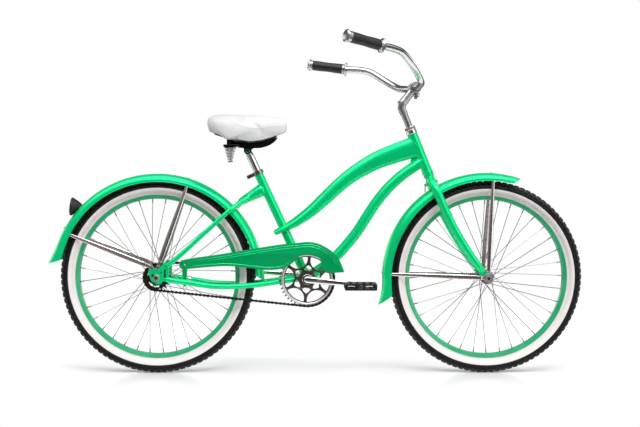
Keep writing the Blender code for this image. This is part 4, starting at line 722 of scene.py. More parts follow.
def frame_welds():
    """The beads round the joints of the main tubes, and a small web between the two at the head tube."""
    beads = [weld_bead(top_seam, 0.0019), weld_bead(down_seams[0], 0.0019), weld_bead(down_seams[1], 0.0021)]
    ring = [
        BRACKET + SEAT_UP * math.sqrt(SHELL_RADIUS**2 - (SEAT_TUBE_RADIUS * math.cos(a))**2) + SEAT_UP.cross(LEFT)
        * SEAT_TUBE_RADIUS * math.cos(a) + LEFT * SEAT_TUBE_RADIUS * math.sin(a) for a in turns(48)]
    beads.append(weld_bead(ring, 0.0020))
    web = mm((802, 662), (827, 674), (827, 700), (806, 690))
    beads.append(pressed_plate([web], 0.0050, 0.0006, 0.0))
    piece("main_tube_welds", joined(*beads), GREEN, "frame", "green_paint")


chainstays()
seat_stays()
dropouts()
frame_welds()


# The headset. Pressed cups in both ends of the head tube, the upper one chromed and the lower one painted
# with the frame, closed by a chromed nut with flats for a spanner.

def polished(name, tint, roughness):
    """Chrome plate over steel: near mirror, with the faint waves of a polishing wheel and a few dull spots."""
    plate = Finish(name, tint, roughness, 1.0)
    return plate.wear_and_shade(
        (55.0, 4.0, 0.6), (0.62, 0.10), (tint, faded(tint, 0.90)), (0.07, roughness - 0.02), (38.0, 1.0, 0.00020),
        0.35)


CHROME = polished("chrome", (0.86, 0.845, 0.85), 0.07)


def headset():
    upper = mm(
        (13.2, 10), (15, 10), (16.2, 9.4), (17, 8.2), (18, 7.4), (18, 1.2), (17.5, 0.3), (14.5, 0.3), (14.5, -7.5),
        (13.2, -8))
    mesh = lathe(upper, HEAD_LOW + STEER_UP * HEAD_TUBE_LENGTH, STEER_UP, 48)
    piece("headset_upper_cup_chrome", mesh, CHROME, "frame", "chrome", "headset_upper_cup")
    lower = mm(
        (13.2, 8), (14.5, 7.5), (14.5, -0.3), (17.5, -0.3), (18, -1.2), (18, -8.5), (17.6, -9.8), (16.8, -11.2),
        (15.8, -12), (13.2, -12))
    enamelled("headset_lower_cup", lathe(lower, HEAD_LOW, STEER_UP, 48))


def hexagon_nut(centre, axis, flats, height, bore, base=0.0):
    """A six-sided nut with its corners turned off, from base to height along its axis."""
    axis, ways = spokes_about(axis, 48)
    corner = flats / 2 / math.cos(math.pi / 6)
    rings = []
    chamfer = 0.10 * flats
    levels = [
        (bore, base), (flats / 2, base), (None, base + chamfer * 0.5), (None, height - chamfer * 0.6),
        (flats / 2 * 0.98, height), (bore, height)]
    for radius, at in levels:
        ring = []
        for angle, way in ways:
            apart = (angle % (math.pi / 3)) - math.pi / 6
            reach = min(flats / 2 / math.cos(apart), corner * 0.985) if radius is None else radius
            ring.append(Vector(centre) + way * reach + axis * at)
        rings.append(ring)
    return skin(rings, looped=True)


def headset_locknut():
    top = HEAD_LOW + STEER_UP * HEAD_TUBE_LENGTH
    washer = mm((13.1, 10.4), (17.4, 10.4), (17.8, 10.8), (17.8, 13.4), (17.2, 14), (13.1, 14))
    parts = [lathe(washer, top, STEER_UP, 48), hexagon_nut(top, STEER_UP, 0.0312, 0.0236, 0.0131, 0.0140)]
    piece("headset_locknut_chrome", joined(*parts), CHROME, "fork", "chrome", "headset_locknut")


headset()
headset_locknut()


# The fork. A threaded steerer, and two raked legs that curve out of it and down to flat tips, brazed and
# painted as one, with a small collar round each leg where the rake begins.

FORK_SPREAD = 0.0525
WHEELBASE = 1.048
FRONT_AXLE = Vector((WHEELBASE, 0.0, AXLE_HEIGHT))
REAR_AXLE = Vector((0.0, 0.0, AXLE_HEIGHT))


def steering(up, ahead=0.0, left=0.0):
    """A point up the steering axis from the head tube's lower end, ahead of it and to the left."""
    return HEAD_LOW + STEER_UP * up + STEER_FORWARD * ahead + LEFT * left


def fork():
    low = -0.3857
    rake = 0.0515 * math.cos(math.radians(22.4))
    parts = []
    details = []
    for side in (-1, 1):
        route = [
            steering(-0.030, 0.0, side * 0.002), steering(-0.038, -0.001, side * 0.023),
            steering(-0.056, 0.0, side * 0.0435)]
        for up in (-0.085, -0.135, -0.185, -0.225, -0.265, -0.305, -0.340, -0.364):
            share = (up + 0.066) / (low + 0.066)
            route.append(steering(up, rake * share**2.2, side * FORK_SPREAD))
        radii = (1.05, 1.08, 1.08, 1.08, 1.06, 1.00, 0.99, 0.97, 0.93, 0.86, 0.52)
        table = curve_through([(*point, radius) for point, radius in zip(route, radii)], 7)
        wide = table[:, 3] * 0.0130
        wide[-1] *= 0.7
        parts.append(tube(table[:, :3], wide, sides=28, side=STEER_FORWARD))
        down = (route[5] - route[4]).normalized()
        collar = mm((12, 10), (14.3, 10), (15, 11), (15, 21), (14.3, 22), (12, 22))
        details.append(lathe(collar, route[4], down, 40))
        start = route[-1] + Vector((-0.010, 0.0, 0.010))
        tip = [
            (start.x - 0.006, start.z - 0.010), (WHEELBASE - 0.004, AXLE_HEIGHT - 0.0105),
            (WHEELBASE + 0.007, AXLE_HEIGHT - 0.0080), (WHEELBASE + 0.0105, AXLE_HEIGHT + 0.001),
            (WHEELBASE + 0.006, AXLE_HEIGHT + 0.0095), (start.x + 0.010, start.z + 0.006)]
        outlines = [rounded(tip, 0.005), round_hole(0.0052, WHEELBASE, AXLE_HEIGHT, 24)]
        details.append(pressed_plate(outlines, 0.0050, 0.0006, side * FORK_SPREAD))
    crown = mm(
        (0, -12), (16.8, -12.2), (17.2, -13), (17.2, -18), (15.8, -21), (15, -24), (15, -35), (12.5, -39.5), (0, -42))
    parts.append(lathe(crown, HEAD_LOW, STEER_UP, 48))
    steerer = mm((11.3, -10), (12.7, -10), (12.7, 149.2), (12.3, 150), (11.3, 150))
    bolt = -0.041
    details += [
        lathe(steerer, HEAD_LOW, STEER_UP, 40), tube([steering(bolt, at) for at in (-0.0190, 0.0160)], 0.0032,
        sides=16), hexagon_nut(steering(bolt, 0.0125), STEER_FORWARD, 0.0088, 0.0075, 0.0005),
        hexagon_nut(steering(bolt, -0.0185), -STEER_FORWARD, 0.0088, 0.0065, 0.0005)]
    tab_top = steering(bolt, -0.0235)
    crown_z = AXLE_HEIGHT + math.sqrt(0.3345**2 - (WHEELBASE - tab_top.x)**2)
    tab = box(tab_top.x - 0.0014, tab_top.x + 0.0011, crown_z + 0.0004, tab_top.z + 0.0064)
    details.append(pressed_plate([tab], 0.0120, 0.0003, 0.0))
    enamelled("fork", joined(fused(joined(*parts), 0.0014, 6), *details), "fork")


fork()


# The wheels. Two like wheels: a black tyre with block tread and a wide white side band on a painted steel
# rim, laced with 36 crossed spokes to a hub. The rear hub is fatter, with the brake inside it.

SECTION_MIDDLE = 0.2805
SECTION_WIDE = 0.0258
SECTION_TALL = 0.0246
RIM_OUTER = 0.2595
TREAD_BLOCKS = 96
SPOKE_COUNT = 36
WHEELS = (
    # name, body, axle, flange radius, right and left flange, shell radius, first spoke's angle
    ("rear", "rear_wheel", REAR_AXLE, 0.0250, (-0.0270, 0.0310), 0.0190, math.radians(4)),
    ("front", "front_wheel", FRONT_AXLE, 0.0175, (-0.0340, 0.0340), 0.0135, math.radians(1)),
)


class Growth(Nodes):
    """A Geometry Nodes tree with named sizes, which turns into a plain mesh."""

    KINDS = {
        float: "NodeSocketFloat", int: "NodeSocketInt", bpy.types.Object: "NodeSocketObject",
        bpy.types.Material: "NodeSocketMaterial", Vector: "NodeSocketVector"}

    def __init__(self, name, sizes):
        super().__init__(bpy.data.node_groups.new(name, "GeometryNodeTree"))
        self.name = name
        self.sizes = sizes
        new_socket = self.tree.interface.new_socket
        new_socket("Geometry", in_out="INPUT", socket_type="NodeSocketGeometry")
        self.keys = {
            label: new_socket(label, in_out="INPUT", socket_type=self.KINDS[type(value)]).identifier for label,
            value in sizes.items()}
        new_socket("Geometry", in_out="OUTPUT", socket_type="NodeSocketGeometry")
        self.source = self.tree.nodes.new("NodeGroupInput")
        self.outlet = self.tree.nodes.new("NodeGroupOutput")

    def size(self, label):
        return Value(self, self.source.outputs[label])

    def pattern(self, label):
        """The shape that an object input holds."""
        return self.node("GeometryNodeObjectInfo", {"Object": self.size(label)}, "Geometry")

    def base_line(self):
        """The wire that the tree starts from, as a curve."""
        return self.node("GeometryNodeMeshToCurve", {"Mesh": Value(self, self.source.outputs[0])})

    def mesh(self, shape, finish, base=None):
        """Ends the tree, and gives what it grows as a plain mesh."""
        whole = self.node("GeometryNodeRealizeInstances", {"Geometry": shape})
        painted = self.node("GeometryNodeSetMaterial", {"Geometry": whole, "Material": finish})
        self.plug(self.outlet.inputs["Geometry"], painted)
        holder = placed(self.name, base or bpy.data.meshes.new(self.name))
        modifier = holder.modifiers.new(self.name, "NODES")
        modifier.node_group = self.tree
        for label, value in self.sizes.items():
            modifier[self.keys[label]] = tuple(value) if isinstance(value, Vector) else value
        holder.update_tag()
        return settled(holder)


def ring_of(pattern, centre, count, start, finish):
    """Copies of a shape at even angles about a wheel's axle. The shape is made with the axle at the origin."""
    held = placed("pattern", pattern)
    growth = Growth(
        "ring_of_copies", {"Pattern": held, "Centre": Vector(centre), "Count": count, "Step": 2 * math.pi / count,
        "Start": start, "Finish": finish})
    places = growth.node("GeometryNodePoints", {"Count": growth.size("Count"), "Position": growth.size("Centre")})
    index = growth.node("GeometryNodeInputIndex")
    angle = index * growth.size("Step") + growth.size("Start")
    turn = growth.node("ShaderNodeCombineXYZ", {"Y": angle})
    copies = growth.node(
        "GeometryNodeInstanceOnPoints", {"Points": places, "Instance": growth.pattern("Pattern"), "Rotation": turn})
    mesh = growth.mesh(copies, growth.size("Finish"))
    bpy.data.objects.remove(held)
    return mesh


def tyre_rubber(name, axle):
    """Black rubber, dusty and dull, with a lighter grey painted on its tread as the glint of the knobs, and a white
    side band that has a fine line pressed near each edge.
    """
    rubber = Finish(name, (0.012, 0.012, 0.013), 0.72, 0.0, {"Specular IOR Level": 0.22})
    reach = rubber.reach(axle)
    band = (1.0 - reach.above(0.2822, 0.0004)) * reach.above(0.2520, 0.0004)
    dust = rubber.noise(45.0, 5.0, 0.65)
    black = rubber.mix(dust.above(0.55, 0.25), (0.006, 0.006, 0.007), (0.015, 0.014, 0.016))
    # The crown and its blocks are painted a lighter grey: a painted glint on the knobs.
    black = rubber.mix(reach.above(0.2985, 0.0020), black, (0.046, 0.045, 0.045))
    soiled = rubber.noise(12.0, 4.0, 0.6).above(0.60, 0.25) * 0.35
    white = rubber.mix(soiled, (0.86, 0.81, 0.80), (0.72, 0.675, 0.67))
    rubber.set("Base Color", rubber.mix(band, black, white))
    rubber.set("Roughness", band * -0.18 + 0.66 + dust * 0.10 - reach.above(0.2900, 0.0020) * 0.16)
    lines = 0.0
    for radius in (0.2640, 0.2810):
        lines = (reach - radius).maths("ABSOLUTE").above(0.0005, 0.0003) + lines
    rubber.bump(lines * 0.6 + rubber.noise(900.0, 2.0) * 0.25, 0.00025)
    return rubber.material


def tread_block(row, length, width, height, skew):
    """One tread block, standing on the tyre at an angle round its section, with its edges slanted."""
    out = Vector((math.cos(row) / SECTION_TALL, math.sin(row) / SECTION_WIDE)).normalized()
    foot = Vector((SECTION_MIDDLE + SECTION_TALL * math.cos(row), SECTION_WIDE * math.sin(row)))
    aside = out.orthogonal()
    rings = []
    for rise, share in ((-0.0012, 1.10), (height * 0.80, 1.0), (height, 0.86)):
        ring = []
        for along, across in ((-1, -1), (1, -1), (1, 1), (-1, 1)):
            spot = foot + out * rise + aside * across * width / 2 * share
            ring.append(Vector((along * length / 2 * share + skew * across, spot.y, spot.x)))
        rings.append(ring)
    return skin(rings)


def tyre(name, body, axle):
    finish = tyre_rubber(f"{name}_tyre_rubber", axle)
    section = []
    for angle in np.linspace(math.radians(-128), math.radians(128), 45)[1:-1]:
        drawn_in = 0.0105 * max((abs(angle) - math.pi / 2) / 0.663, 0.0)**2
        side = math.sin(angle) / (max(abs(math.sin(angle)), 0.93) if abs(angle) > 1.2 else 1.0)
        section.append((SECTION_MIDDLE + SECTION_TALL * math.cos(angle), (SECTION_WIDE - drawn_in) * side))
    parts = [lathe([(0.2597, -0.0138)] + section + [(0.2597, 0.0138)], axle, LEFT, 144)]
    # each row's angle round the section, its blocks' length, width and height, and its start in steps
    rows = (
        (0.0, 0.0128, 0.0080, 0.0028, 0.0), (0.42, 0.0128, 0.0085, 0.0028, 0.0), (0.83, 0.0120, 0.0082, 0.0028, 0.5),
        (1.17, 0.0070, 0.0068, 0.0022, 0.0))
    for angle, length, width, height, start in rows:
        for side in ((1, -1) if angle else (0,)):
            block = tread_block(side * angle, length, width, height, 0.0016 * side)
            parts.append(ring_of(block, axle, TREAD_BLOCKS, 2 * math.pi / TREAD_BLOCKS * start, finish))
    piece(f"{name}_tyre_rubber", joined(*parts), finish, body, "tyre_rubber", f"{name}_tyre")


def rim_enamel():
    """The frame's green on the rims, a little deeper and duller, with brake dust in the well."""
    paint = Finish("rim_enamel", (0.012, 0.42, 0.17), 0.34, 0.0, {"Coat Weight": 0.5, "Coat Roughness": 0.12})
    return paint.wear_and_shade(
        (24.0, 4.0, 0.6), (0.5, 0.3), ((0.008, 0.34, 0.135), (0.018, 0.45, 0.19)), (0.16, 0.26),
        (300.0, 2.0, 0.00006))


RIM_GREEN = rim_enamel()


def rim(name, body, axle):
    half = [(RIM_OUTER, 0.0142), (RIM_OUTER, 0.0156)] + mm(
        (259.1, 16), (257.5, 16), (256.2, 15.5), (254.5, 14.6), (250.5, 14), (248.2, 12.8), (246.8, 10), (246.3, 6),
        (246.2, 0))
    inside = mm((247.6, 0), (247.6, 9), (249.2, 11.8), (252, 13), (256, 13.6), (258, 14.2))
    profile = [(radius, y) for radius, y in half] + [(radius, -y) for radius, y in half[-2::-1]]
    profile += [(radius, -y) for radius, y in inside[::-1]] + [(radius, y) for radius, y in inside[1:]]
    mesh = lathe(profile, axle, LEFT, 144)
    piece(f"{name}_rim_enamel", mesh, RIM_GREEN, body, "rim_paint", f"{name}_rim")


SPOKE_STEEL = worn_steel("spoke_steel", (0.34, 0.33, 0.32), 0.34)


def spoke(flange_radius, flange, side, sense):
    """One spoke with its nipple: it comes through the flange, bends, and runs to the rim."""
    offset = sense * side * 0.0023
    hub_angle = sense * math.radians(60)
    near = Vector((flange_radius * math.sin(hub_angle), flange + offset, flange_radius * math.cos(hub_angle)))
    far = Vector((0.0, side * 0.0040, 0.2458))
    way = (far - near).normalized()
    head = near - Vector((0.0, offset * 2.1, 0.0))
    path = [head, near - Vector((0.0, offset * 0.35, 0.0)), near + way * 0.0022, far - way * 0.010]
    wire = tube(path, 0.00105, sides=6, side=(0.3, 0.5, 0.8))
    nipple = tube(
        [far + way * at for at in (-0.0135, -0.0128, -0.0015, 0.0012)], (0.0013, 0.0019, 0.0019, 0.0024), sides=8,
        side=(0.3, 0.5, 0.8))
    button = tube([head - Vector((0.0, side * sense * 0.0008, 0.0)), head], (0.0014, 0.0018), sides=6)
    return joined(wire, nipple, button)


def hub(name, body, axle, flange_radius, flanges, shell, start):
    """A turned shell with a flange for each side's spokes, and the spokes laced three-cross."""
    edge = flange_radius + 0.0032
    fat = shell > 0.016
    half = 0.0370 if fat else 0.0420
    dome = 0.0145 if fat else 0.0098
    profile = [(shell * 0.97, 0.0)]
    for flange, way in zip(flanges, (-1, 1)):
        flank = [(0.0062, half), (dome, half), (dome + 0.0012, half - 0.0012)]
        flank += [
            (base + more, way * flange + out) for base, more, out in ((dome, 0.0016, 0.0035), (edge, -0.0040, 0.0018),
            (edge, -0.0008, 0.0017), (edge, 0.0, 0.0010), (edge, 0.0, -0.0010), (edge, -0.0008, -0.0017),
            (shell, 0.0040, -0.0020), (shell, 0.0012, -0.0045), (shell, 0.0, -0.0090))]
        profile = profile + [(radius, -at) for radius, at in flank[::-1]] if way < 0 else flank + profile
    parts = [lathe(profile, axle, LEFT, 56)]
    for number in range(4):
        side, sense = number % 2, 1 if number > 1 else -1
        made = spoke(flange_radius, flanges[side], 2 * side - 1, sense)
        first = start + 2 * math.pi * number / SPOKE_COUNT
        parts.append(ring_of(made, axle, SPOKE_COUNT // 4, math.pi / 2 - first, SPOKE_STEEL))
    piece(f"{name}_hub_and_spokes", joined(*parts), SPOKE_STEEL, body, "spoke_steel", f"{name}_hub")


def axle_set(name, body, axle, inner_face, washer_face, washer_radius):
    """A dark threaded axle with a cone inside each tip, and a bright washer and nut outside it."""
    dark, bright = [], []
    for side in (-1, 1):
        way = LEFT * side
        end = washer_face + 0.0014
        cone = [
            (0.0048, inner_face - 0.0050), (0.0080, inner_face - 0.0050), (0.0086, inner_face - 0.0040),
            (0.0086, inner_face - 0.0004), (0.0080, inner_face), (0.0048, inner_face)]
        dark.append(lathe(cone, axle, way, 32))
        washer = [
            (0.0048, washer_face), (washer_radius - 0.0003, washer_face), (washer_radius, washer_face + 0.0004),
            (washer_radius, end - 0.0003), (washer_radius - 0.0004, end), (0.0048, end)]
        bright.append(lathe(washer, axle, way, 48))
        bright.append(hexagon_nut(axle, way, 0.0150, end + 0.0078, 0.0049, end))
        thread = [(0.0, 0.0)]
        heights = np.arange(0.0, end + 0.0104, 0.0005)
        thread += [(0.0047 - 0.0002 * (k % 2), at) for k, at in enumerate(heights)]
        thread += [(0.0038, end + 0.0110), (0.0, end + 0.0110)]
        dark.append(lathe(thread, axle, way, 20))
    piece(f"{name}_axle_steel", joined(*dark), DARK_STEEL, body, "dark_steel", f"{name}_axle")
    piece(f"{name}_axle_nuts", joined(*bright), NUT_ZINC, body, "chrome")


NUT_ZINC = worn_steel("nut_zinc", (0.78, 0.76, 0.74), 0.38, 0.14)
for *wheel, flange_size, flange_places, shell_size, first_spoke in WHEELS:
    tyre(*wheel)
    rim(*wheel)
    hub(*wheel, flange_size, flange_places, shell_size, first_spoke)
axle_set("rear", "frame", REAR_AXLE, 0.0550, 0.0606, 0.0105)
axle_set("front", "fork", FRONT_AXLE, 0.0497, 0.0590, 0.0150)


# The coaster brake's arm. A chromed flat arm from the left end of the rear axle to a clip round the left
# chainstay, which holds the brake still when the rider back-pedals.

def ring_section(inner, outer, low, high, wide, tall):
    """The section of a ring with its two outer edges cut off."""
    return [
        (inner, low), (outer - wide, low), (outer, low + tall), (outer, high - tall), (outer - wide, high),
        (inner, high)]


def brake_arm():
    # inside the dropout come the axle's cone, a gap and half the arm's thickness
    face = DROPOUT_MIDDLE - DROPOUT_THICKNESS / 2 - 0.0048 - 0.0006 - 0.00125
    before, after = Vector(CHAINSTAY[1]), Vector(CHAINSTAY[2])
    stay = before.lerp(after, 0.18)
    low = Vector((stay.x, stay.z - CHAINSTAY_RADIUS - 0.0085))
    start = Vector((0.0, AXLE_HEIGHT))
    way = (low - start).normalized()
    across = way.orthogonal()
    reach = (low - start).length
    outline = []
    for along, radius, first, last, count in ((0.0, 0.0120, 35, 325, 22), (reach, 0.0050, -90, 90, 9)):
        for angle in np.radians(np.linspace(first, last, count)):
            outline.append(
                tuple(start + way * (along + radius * math.cos(angle)) + across * radius * math.sin(angle)))
    plate = pressed_plate([outline, round_hole(0.0051, 0.0, AXLE_HEIGHT, 24)], 0.0025, 0.0006, face)
    inner = CHAINSTAY_RADIUS + 0.0002
    band = ring_section(inner, inner + 0.0012, -0.0050, 0.0050, 0.0003, 0.0004)
    ring = lathe(band, stay, after - before, 40)
    lug = tube(
        [(low.x, y, low.y) for y in (face - 0.0010, face, stay.y + 0.0030, stay.y + 0.0038)],
        (0.0040, 0.0046, 0.0046, 0.0040), sides=20)
    neck = pressed_plate(
        [box(low.x - 0.0030, low.x + 0.0030, low.y + 0.0010, low.y + 0.0084)], 0.0030, 0.0005, stay.y)
    head = hexagon_nut((low.x, stay.y + 0.0030, low.y), LEFT, 0.0076, 0.0042, 0.0005)
    piece("brake_arm_chrome", joined(plate, ring, lug, neck, head), CHROME, "frame", "chrome", "brake_arm")


brake_arm()


# The chain and its two toothed wheels. A pressed chromed ring of 42 teeth with six windows turns with the
# crank, a hardened black sprocket of 20 teeth sits on the hub, and 106 half-inch links run round both.

CHAIN_LINE = 0.0455
CHAIN_PITCH = 0.0127
RING_TEETH = 42
COG_TEETH = 20
RING_RADIUS = CHAIN_PITCH / 2 / math.sin(math.pi / RING_TEETH)
COG_RADIUS = CHAIN_PITCH / 2 / math.sin(math.pi / COG_TEETH)
LINKS = 106
CRANK_DROOP = math.radians(5.2)
CRANK_AHEAD = Vector((math.cos(CRANK_DROOP), 0.0, -math.sin(CRANK_DROOP)))


def chain_route():
    """The pitch line round both wheels, from where the lower run meets the ring: its points, and where
    the first pin on each wheel stands."""
    apart = BRACKET - REAR_AXLE
    distance = math.hypot(apart.x, apart.z)
    tilt = math.atan2(apart.z, apart.x)
    lean = math.asin((RING_RADIUS - COG_RADIUS) / distance)
    ring_first, cog_first = tilt - math.pi / 2 - lean, tilt + math.pi / 2 + lean
    route = []
    for centre, radius, first, sweep in (
            (BRACKET, RING_RADIUS, ring_first, math.pi + 2 * lean), (REAR_AXLE, COG_RADIUS, cog_first,
            math.pi - 2 * lean)):
        for angle in np.linspace(first, first + sweep, 90):
            route.append(centre + Vector((math.cos(angle), 0.0, math.sin(angle))) * radius)
    straight = distance * math.cos(lean)
    before = (RING_RADIUS * (math.pi + 2 * lean) + straight) / CHAIN_PITCH
    cog_first += (math.ceil(before) - before) * CHAIN_PITCH / COG_RADIUS
    return [Vector((point.x, -CHAIN_LINE, point.z)) for point in route], ring_first, cog_first


CHAIN_ROUTE, RING_FIRST, COG_FIRST = chain_route()


def polar(reach, angle):
    """A point by its distance and angle."""
    return reach * math.cos(angle), reach * math.sin(angle)


def teeth(count, radius, first):
    """The outline of a wheel for a roller chain: round seats for the rollers between pointed teeth."""
    outline = []
    seat = 0.00400
    for pin in range(count):
        angle = first + 2 * math.pi * pin / count
        out = Vector(polar(1.0, angle))
        side, middle = out.orthogonal(), out * radius
        for turn in (-78, -45, -15, 15, 45, 78):
            at = math.radians(turn)
            outline.append(tuple(middle - out * seat * math.cos(at) + side * seat * math.sin(at)))
        for share in (0.80, 1.20):
            outline.append(polar(radius + 0.0040, angle + math.pi / count * share))
    return outline


def window(middle):
    """A window as a disc makes it that the wheel's rim cuts off outside."""
    centre, radius, rim_edge = 0.0727, 0.0316, 0.0712
    corner = math.acos((rim_edge**2 + centre**2 - radius**2) / (2 * rim_edge * centre))
    start = math.atan2(rim_edge * math.sin(corner), rim_edge * math.cos(corner) - centre)
    spots = []
    for turn in np.linspace(start, 2 * math.pi - start, 24):
        spots.append((centre + radius * math.cos(turn), radius * math.sin(turn)))
    for turn in np.linspace(-corner, corner, 10)[1:-1]:
        spots.append(polar(rim_edge, turn))
    return [
        (x * math.cos(middle) - z * math.sin(middle), x * math.sin(middle) + z * math.cos(middle)) for x, z in spots]


def shifted(outlines, centre):
    """Outlines about a wheel's middle, put at its centre in world (x, z)."""
    return [[(centre.x + x, centre.z + z) for x, z in outline] for outline in outlines]


def ring_chrome():
    """Thin plate on the ring: painted bright on the raised band as a painted highlight, brown and dull on the arms,
    and dirty at the teeth.
    """
    plate = Finish("ring_chrome", (0.60, 0.56, 0.55), 0.20, 1.0)
    reach = plate.reach(BRACKET)
    band = reach.above(0.0745, 0.0008) * (1.0 - reach.above(0.0832, 0.0016))
    grime = plate.noise(130.0, 4.0, 0.6).above(0.42, 0.25)
    dull = plate.mix(grime * 0.5, (0.34, 0.30, 0.29), (0.13, 0.11, 0.105))
    dull = plate.mix(reach.above(0.0836, 0.0012), dull, (0.075, 0.065, 0.062))
    # The raised band is painted near white: a painted highlight along the bead.
    plate.set("Base Color", plate.mix(band, dull, (0.92, 0.88, 0.87)))
    plate.set("Roughness", band * 0.10 + plate.noise(50.0, 3.0) * 0.10 + 0.20)
    plate.bump(plate.noise(60.0, 1.0), 0.00015, 0.4)
    return plate.material


def chainring():
    outlines = [teeth(RING_TEETH, RING_RADIUS, RING_FIRST), round_hole(0.0117, 0.0, 0.0, 40)]
    droop = -CRANK_DROOP
    for arm in range(6):
        outlines.append(rounded(window(droop + math.radians(60 * arm)), 0.0012, 2))
        middle = droop + math.radians(60 * arm + 30)
        corners = [
            (0.0262, 0.0), (0.0292, 0.26), (0.0340, 0.40), (0.0402, 0.20), (0.0450, 0.0), (0.0402, -0.20),
            (0.0340, -0.40), (0.0292, -0.26)]
        outlines.append(rounded([polar(r, middle + a) for r, a in corners], 0.0020))
    plate = pressed_plate(shifted(outlines, BRACKET), 0.0024, 0.0006, -CHAIN_LINE)
    band = mm((74.8, 1), (75.4, 1.7), (76.6, 2.2), (77.9, 2.4), (79.2, 2.1), (80.2, 1.5), (80.6, 1))
    raised = lathe(band, BRACKET - LEFT * CHAIN_LINE, -LEFT, 120)
    piece("chainring_plated", joined(plate, raised), ring_chrome(), "crank", "chrome", "chainring")


BLACK_STEEL = worn_steel("black_steel", (0.060, 0.052, 0.050), 0.42)


def bean(radius, depth, half_angle, middle, count=28):
    """A long round-ended slot that follows the wheel round."""
    outline = []
    for i in range(count):
        turn = 2 * math.pi * i / count
        aside = math.copysign(abs(math.cos(turn))**0.70, math.cos(turn))
        rise = math.copysign(abs(math.sin(turn))**0.70, math.sin(turn))
        reach, angle = radius + depth / 2 * rise, middle + half_angle * aside
        outline.append(polar(reach, angle))
    return outline


def sprocket():
    outlines = [teeth(COG_TEETH, COG_RADIUS, COG_FIRST), round_hole(0.0150, 0.0, 0.0, 40)]
    for hole in range(3):
        outlines.append(bean(0.0275, 0.0080, math.radians(38), math.radians(120 * hole + 10)))
    plate = pressed_plate(shifted(outlines, REAR_AXLE), 0.0024, 0.0006, -CHAIN_LINE)
    driver = mm(
        (5.6, 38), (15, 38), (16, 38.8), (16, 48), (15.2, 49), (13, 49), (12.4, 48.4), (10.5, 48.4), (10, 49),
        (5.6, 49))
    body = lathe(driver, REAR_AXLE, -LEFT, 48)
    piece("rear_sprocket_steel", joined(plate, body), BLACK_STEEL, "sprocket", "dark_steel", "rear_sprocket")


def link_plate(y, thick, half_height):
    """One side plate of a link: a figure of eight with its waist drawn in."""
    half = CHAIN_PITCH / 2
    points = []
    for end, sweep in ((1, (-110, -55, 0, 55, 110)), (-1, (70, 125, 180, 235, 290))):
        for angle in sweep:
            at = math.radians(angle)
            points.append((end * half + half_height * math.cos(at), half_height * math.sin(at)))
        points.append((0.0, end * half_height * 0.45))
    rings = [
        [Vector((x * s, y + d, z * s)) for x, z in points] for d, s in ((-thick / 2, 0.97), (0.0, 1.0),
        (thick / 2, 0.97))]
    return skin(rings)


def chain_link(outer):
    """An inner link has two plates and two rollers; an outer link's plates lie outside them on its pins."""
    side = 0.00312 if outer else 0.00207
    parts = [link_plate(way * side, 0.00095, 0.0045) for way in (-1, 1)]
    for end in (-1, 1):
        spot = Vector((end * CHAIN_PITCH / 2, 0.0, 0.0))
        if outer:
            pin = mm((0, -3.9), (1.4, -3.9), (1.8, -3.6), (1.8, 3.6), (1.4, 3.9), (0, 3.9))
            parts.append(lathe(pin, spot, LEFT, 8))
        else:
            roller = mm((0, -1.55), (3.85, -1.55), (3.85, 1.55), (0, 1.55))
            parts.append(lathe(roller, spot, LEFT, 10))
    return joined(*parts)


def chain():
    """The links are set round the pitch line by length, each turned to follow it."""
    wire = bpy.data.meshes.new("pitch_line")
    count = len(CHAIN_ROUTE)
    wire.from_pydata([tuple(point) for point in CHAIN_ROUTE], [(i, (i + 1) % count) for i in range(count)], [])
    held = [placed("pattern", chain_link(False)), placed("pattern", chain_link(True))]
    growth = Growth("chain_links", {"Inner": held[0], "Outer": held[1], "Count": LINKS, "Finish": BLACK_STEEL})
    # two points for each link: the even ones are pins, and the odd ones are the middles of links
    points = growth.node(
        "GeometryNodeCurveToPoints", {"Curve": growth.base_line(), "Count": growth.size("Count") * 2.0}, mode="COUNT")
    turn = growth.node(
        "FunctionNodeAlignRotationToVector", {"Vector": points.also("Tangent")}, axis="X", pivot_axis="Y")
    index = growth.node("GeometryNodeInputIndex")
    whole = growth.tree.nodes.new("GeometryNodeJoinGeometry")
    for label, phase in (("Inner", 1.0), ("Outer", 3.0)):
        here = index.maths("MODULO", 4.0).maths("COMPARE", phase, 0.1)
        links = growth.node(
            "GeometryNodeInstanceOnPoints", {"Points": points, "Selection": here, "Instance": growth.pattern(label),
            "Rotation": turn})
        growth.plug(whole.inputs[0], links)
    mesh = growth.mesh(Value(growth, whole.outputs[0]), growth.size("Finish"), wire)
    for item in held:
        bpy.data.objects.remove(item)
    piece("chain_links", mesh, BLACK_STEEL, "frame", "dark_steel", "chain")


chainring()
sprocket()
chain()


# The chainguard. One pressed sheet of painted steel over the upper run and the ring, with a folded lip and
# raised beads that stiffen it, held by a strap on the chainstay and a spacer on the down tube.

GUARD_PLANE = CHAIN_LINE + 0.0085
SHEET = 0.0012
GUARD_TOP = mm(
    (71.2, 344.3), (74.5, 356), (91.7, 364.8), (200, 381), (312.7, 399.9), (390, 412), (435.2, 416.6), (476.1, 420.1),
    (505, 416), (529.7, 405.1), (550, 392), (566, 376.8), (578, 359), (586.7, 338.9), (591.5, 324.7))
GUARD_LOW = mm(
    (536.3, 321.4), (529, 330), (518.9, 341.9), (519.5, 353), (516.3, 364), (507.8, 371.9), (498, 377.5),
    (487.3, 380), (474, 380), (460.5, 377.7), (449.5, 374), (438.5, 363.9), (422.8, 349.7), (397.7, 337),
    (369.4, 332), (331.7, 332.8), (300.2, 337), (224.9, 343.6), (155.9, 339.8), (86.9, 333.3), (76, 336))


def beside(path, distance):
    """A flat path moved sideways, to its right as it runs."""
    ways = np.gradient(path, axis=0)
    ways /= np.linalg.norm(ways, axis=1)[:, None]
    return path + np.column_stack([ways[:, 1], -ways[:, 0]]) * distance


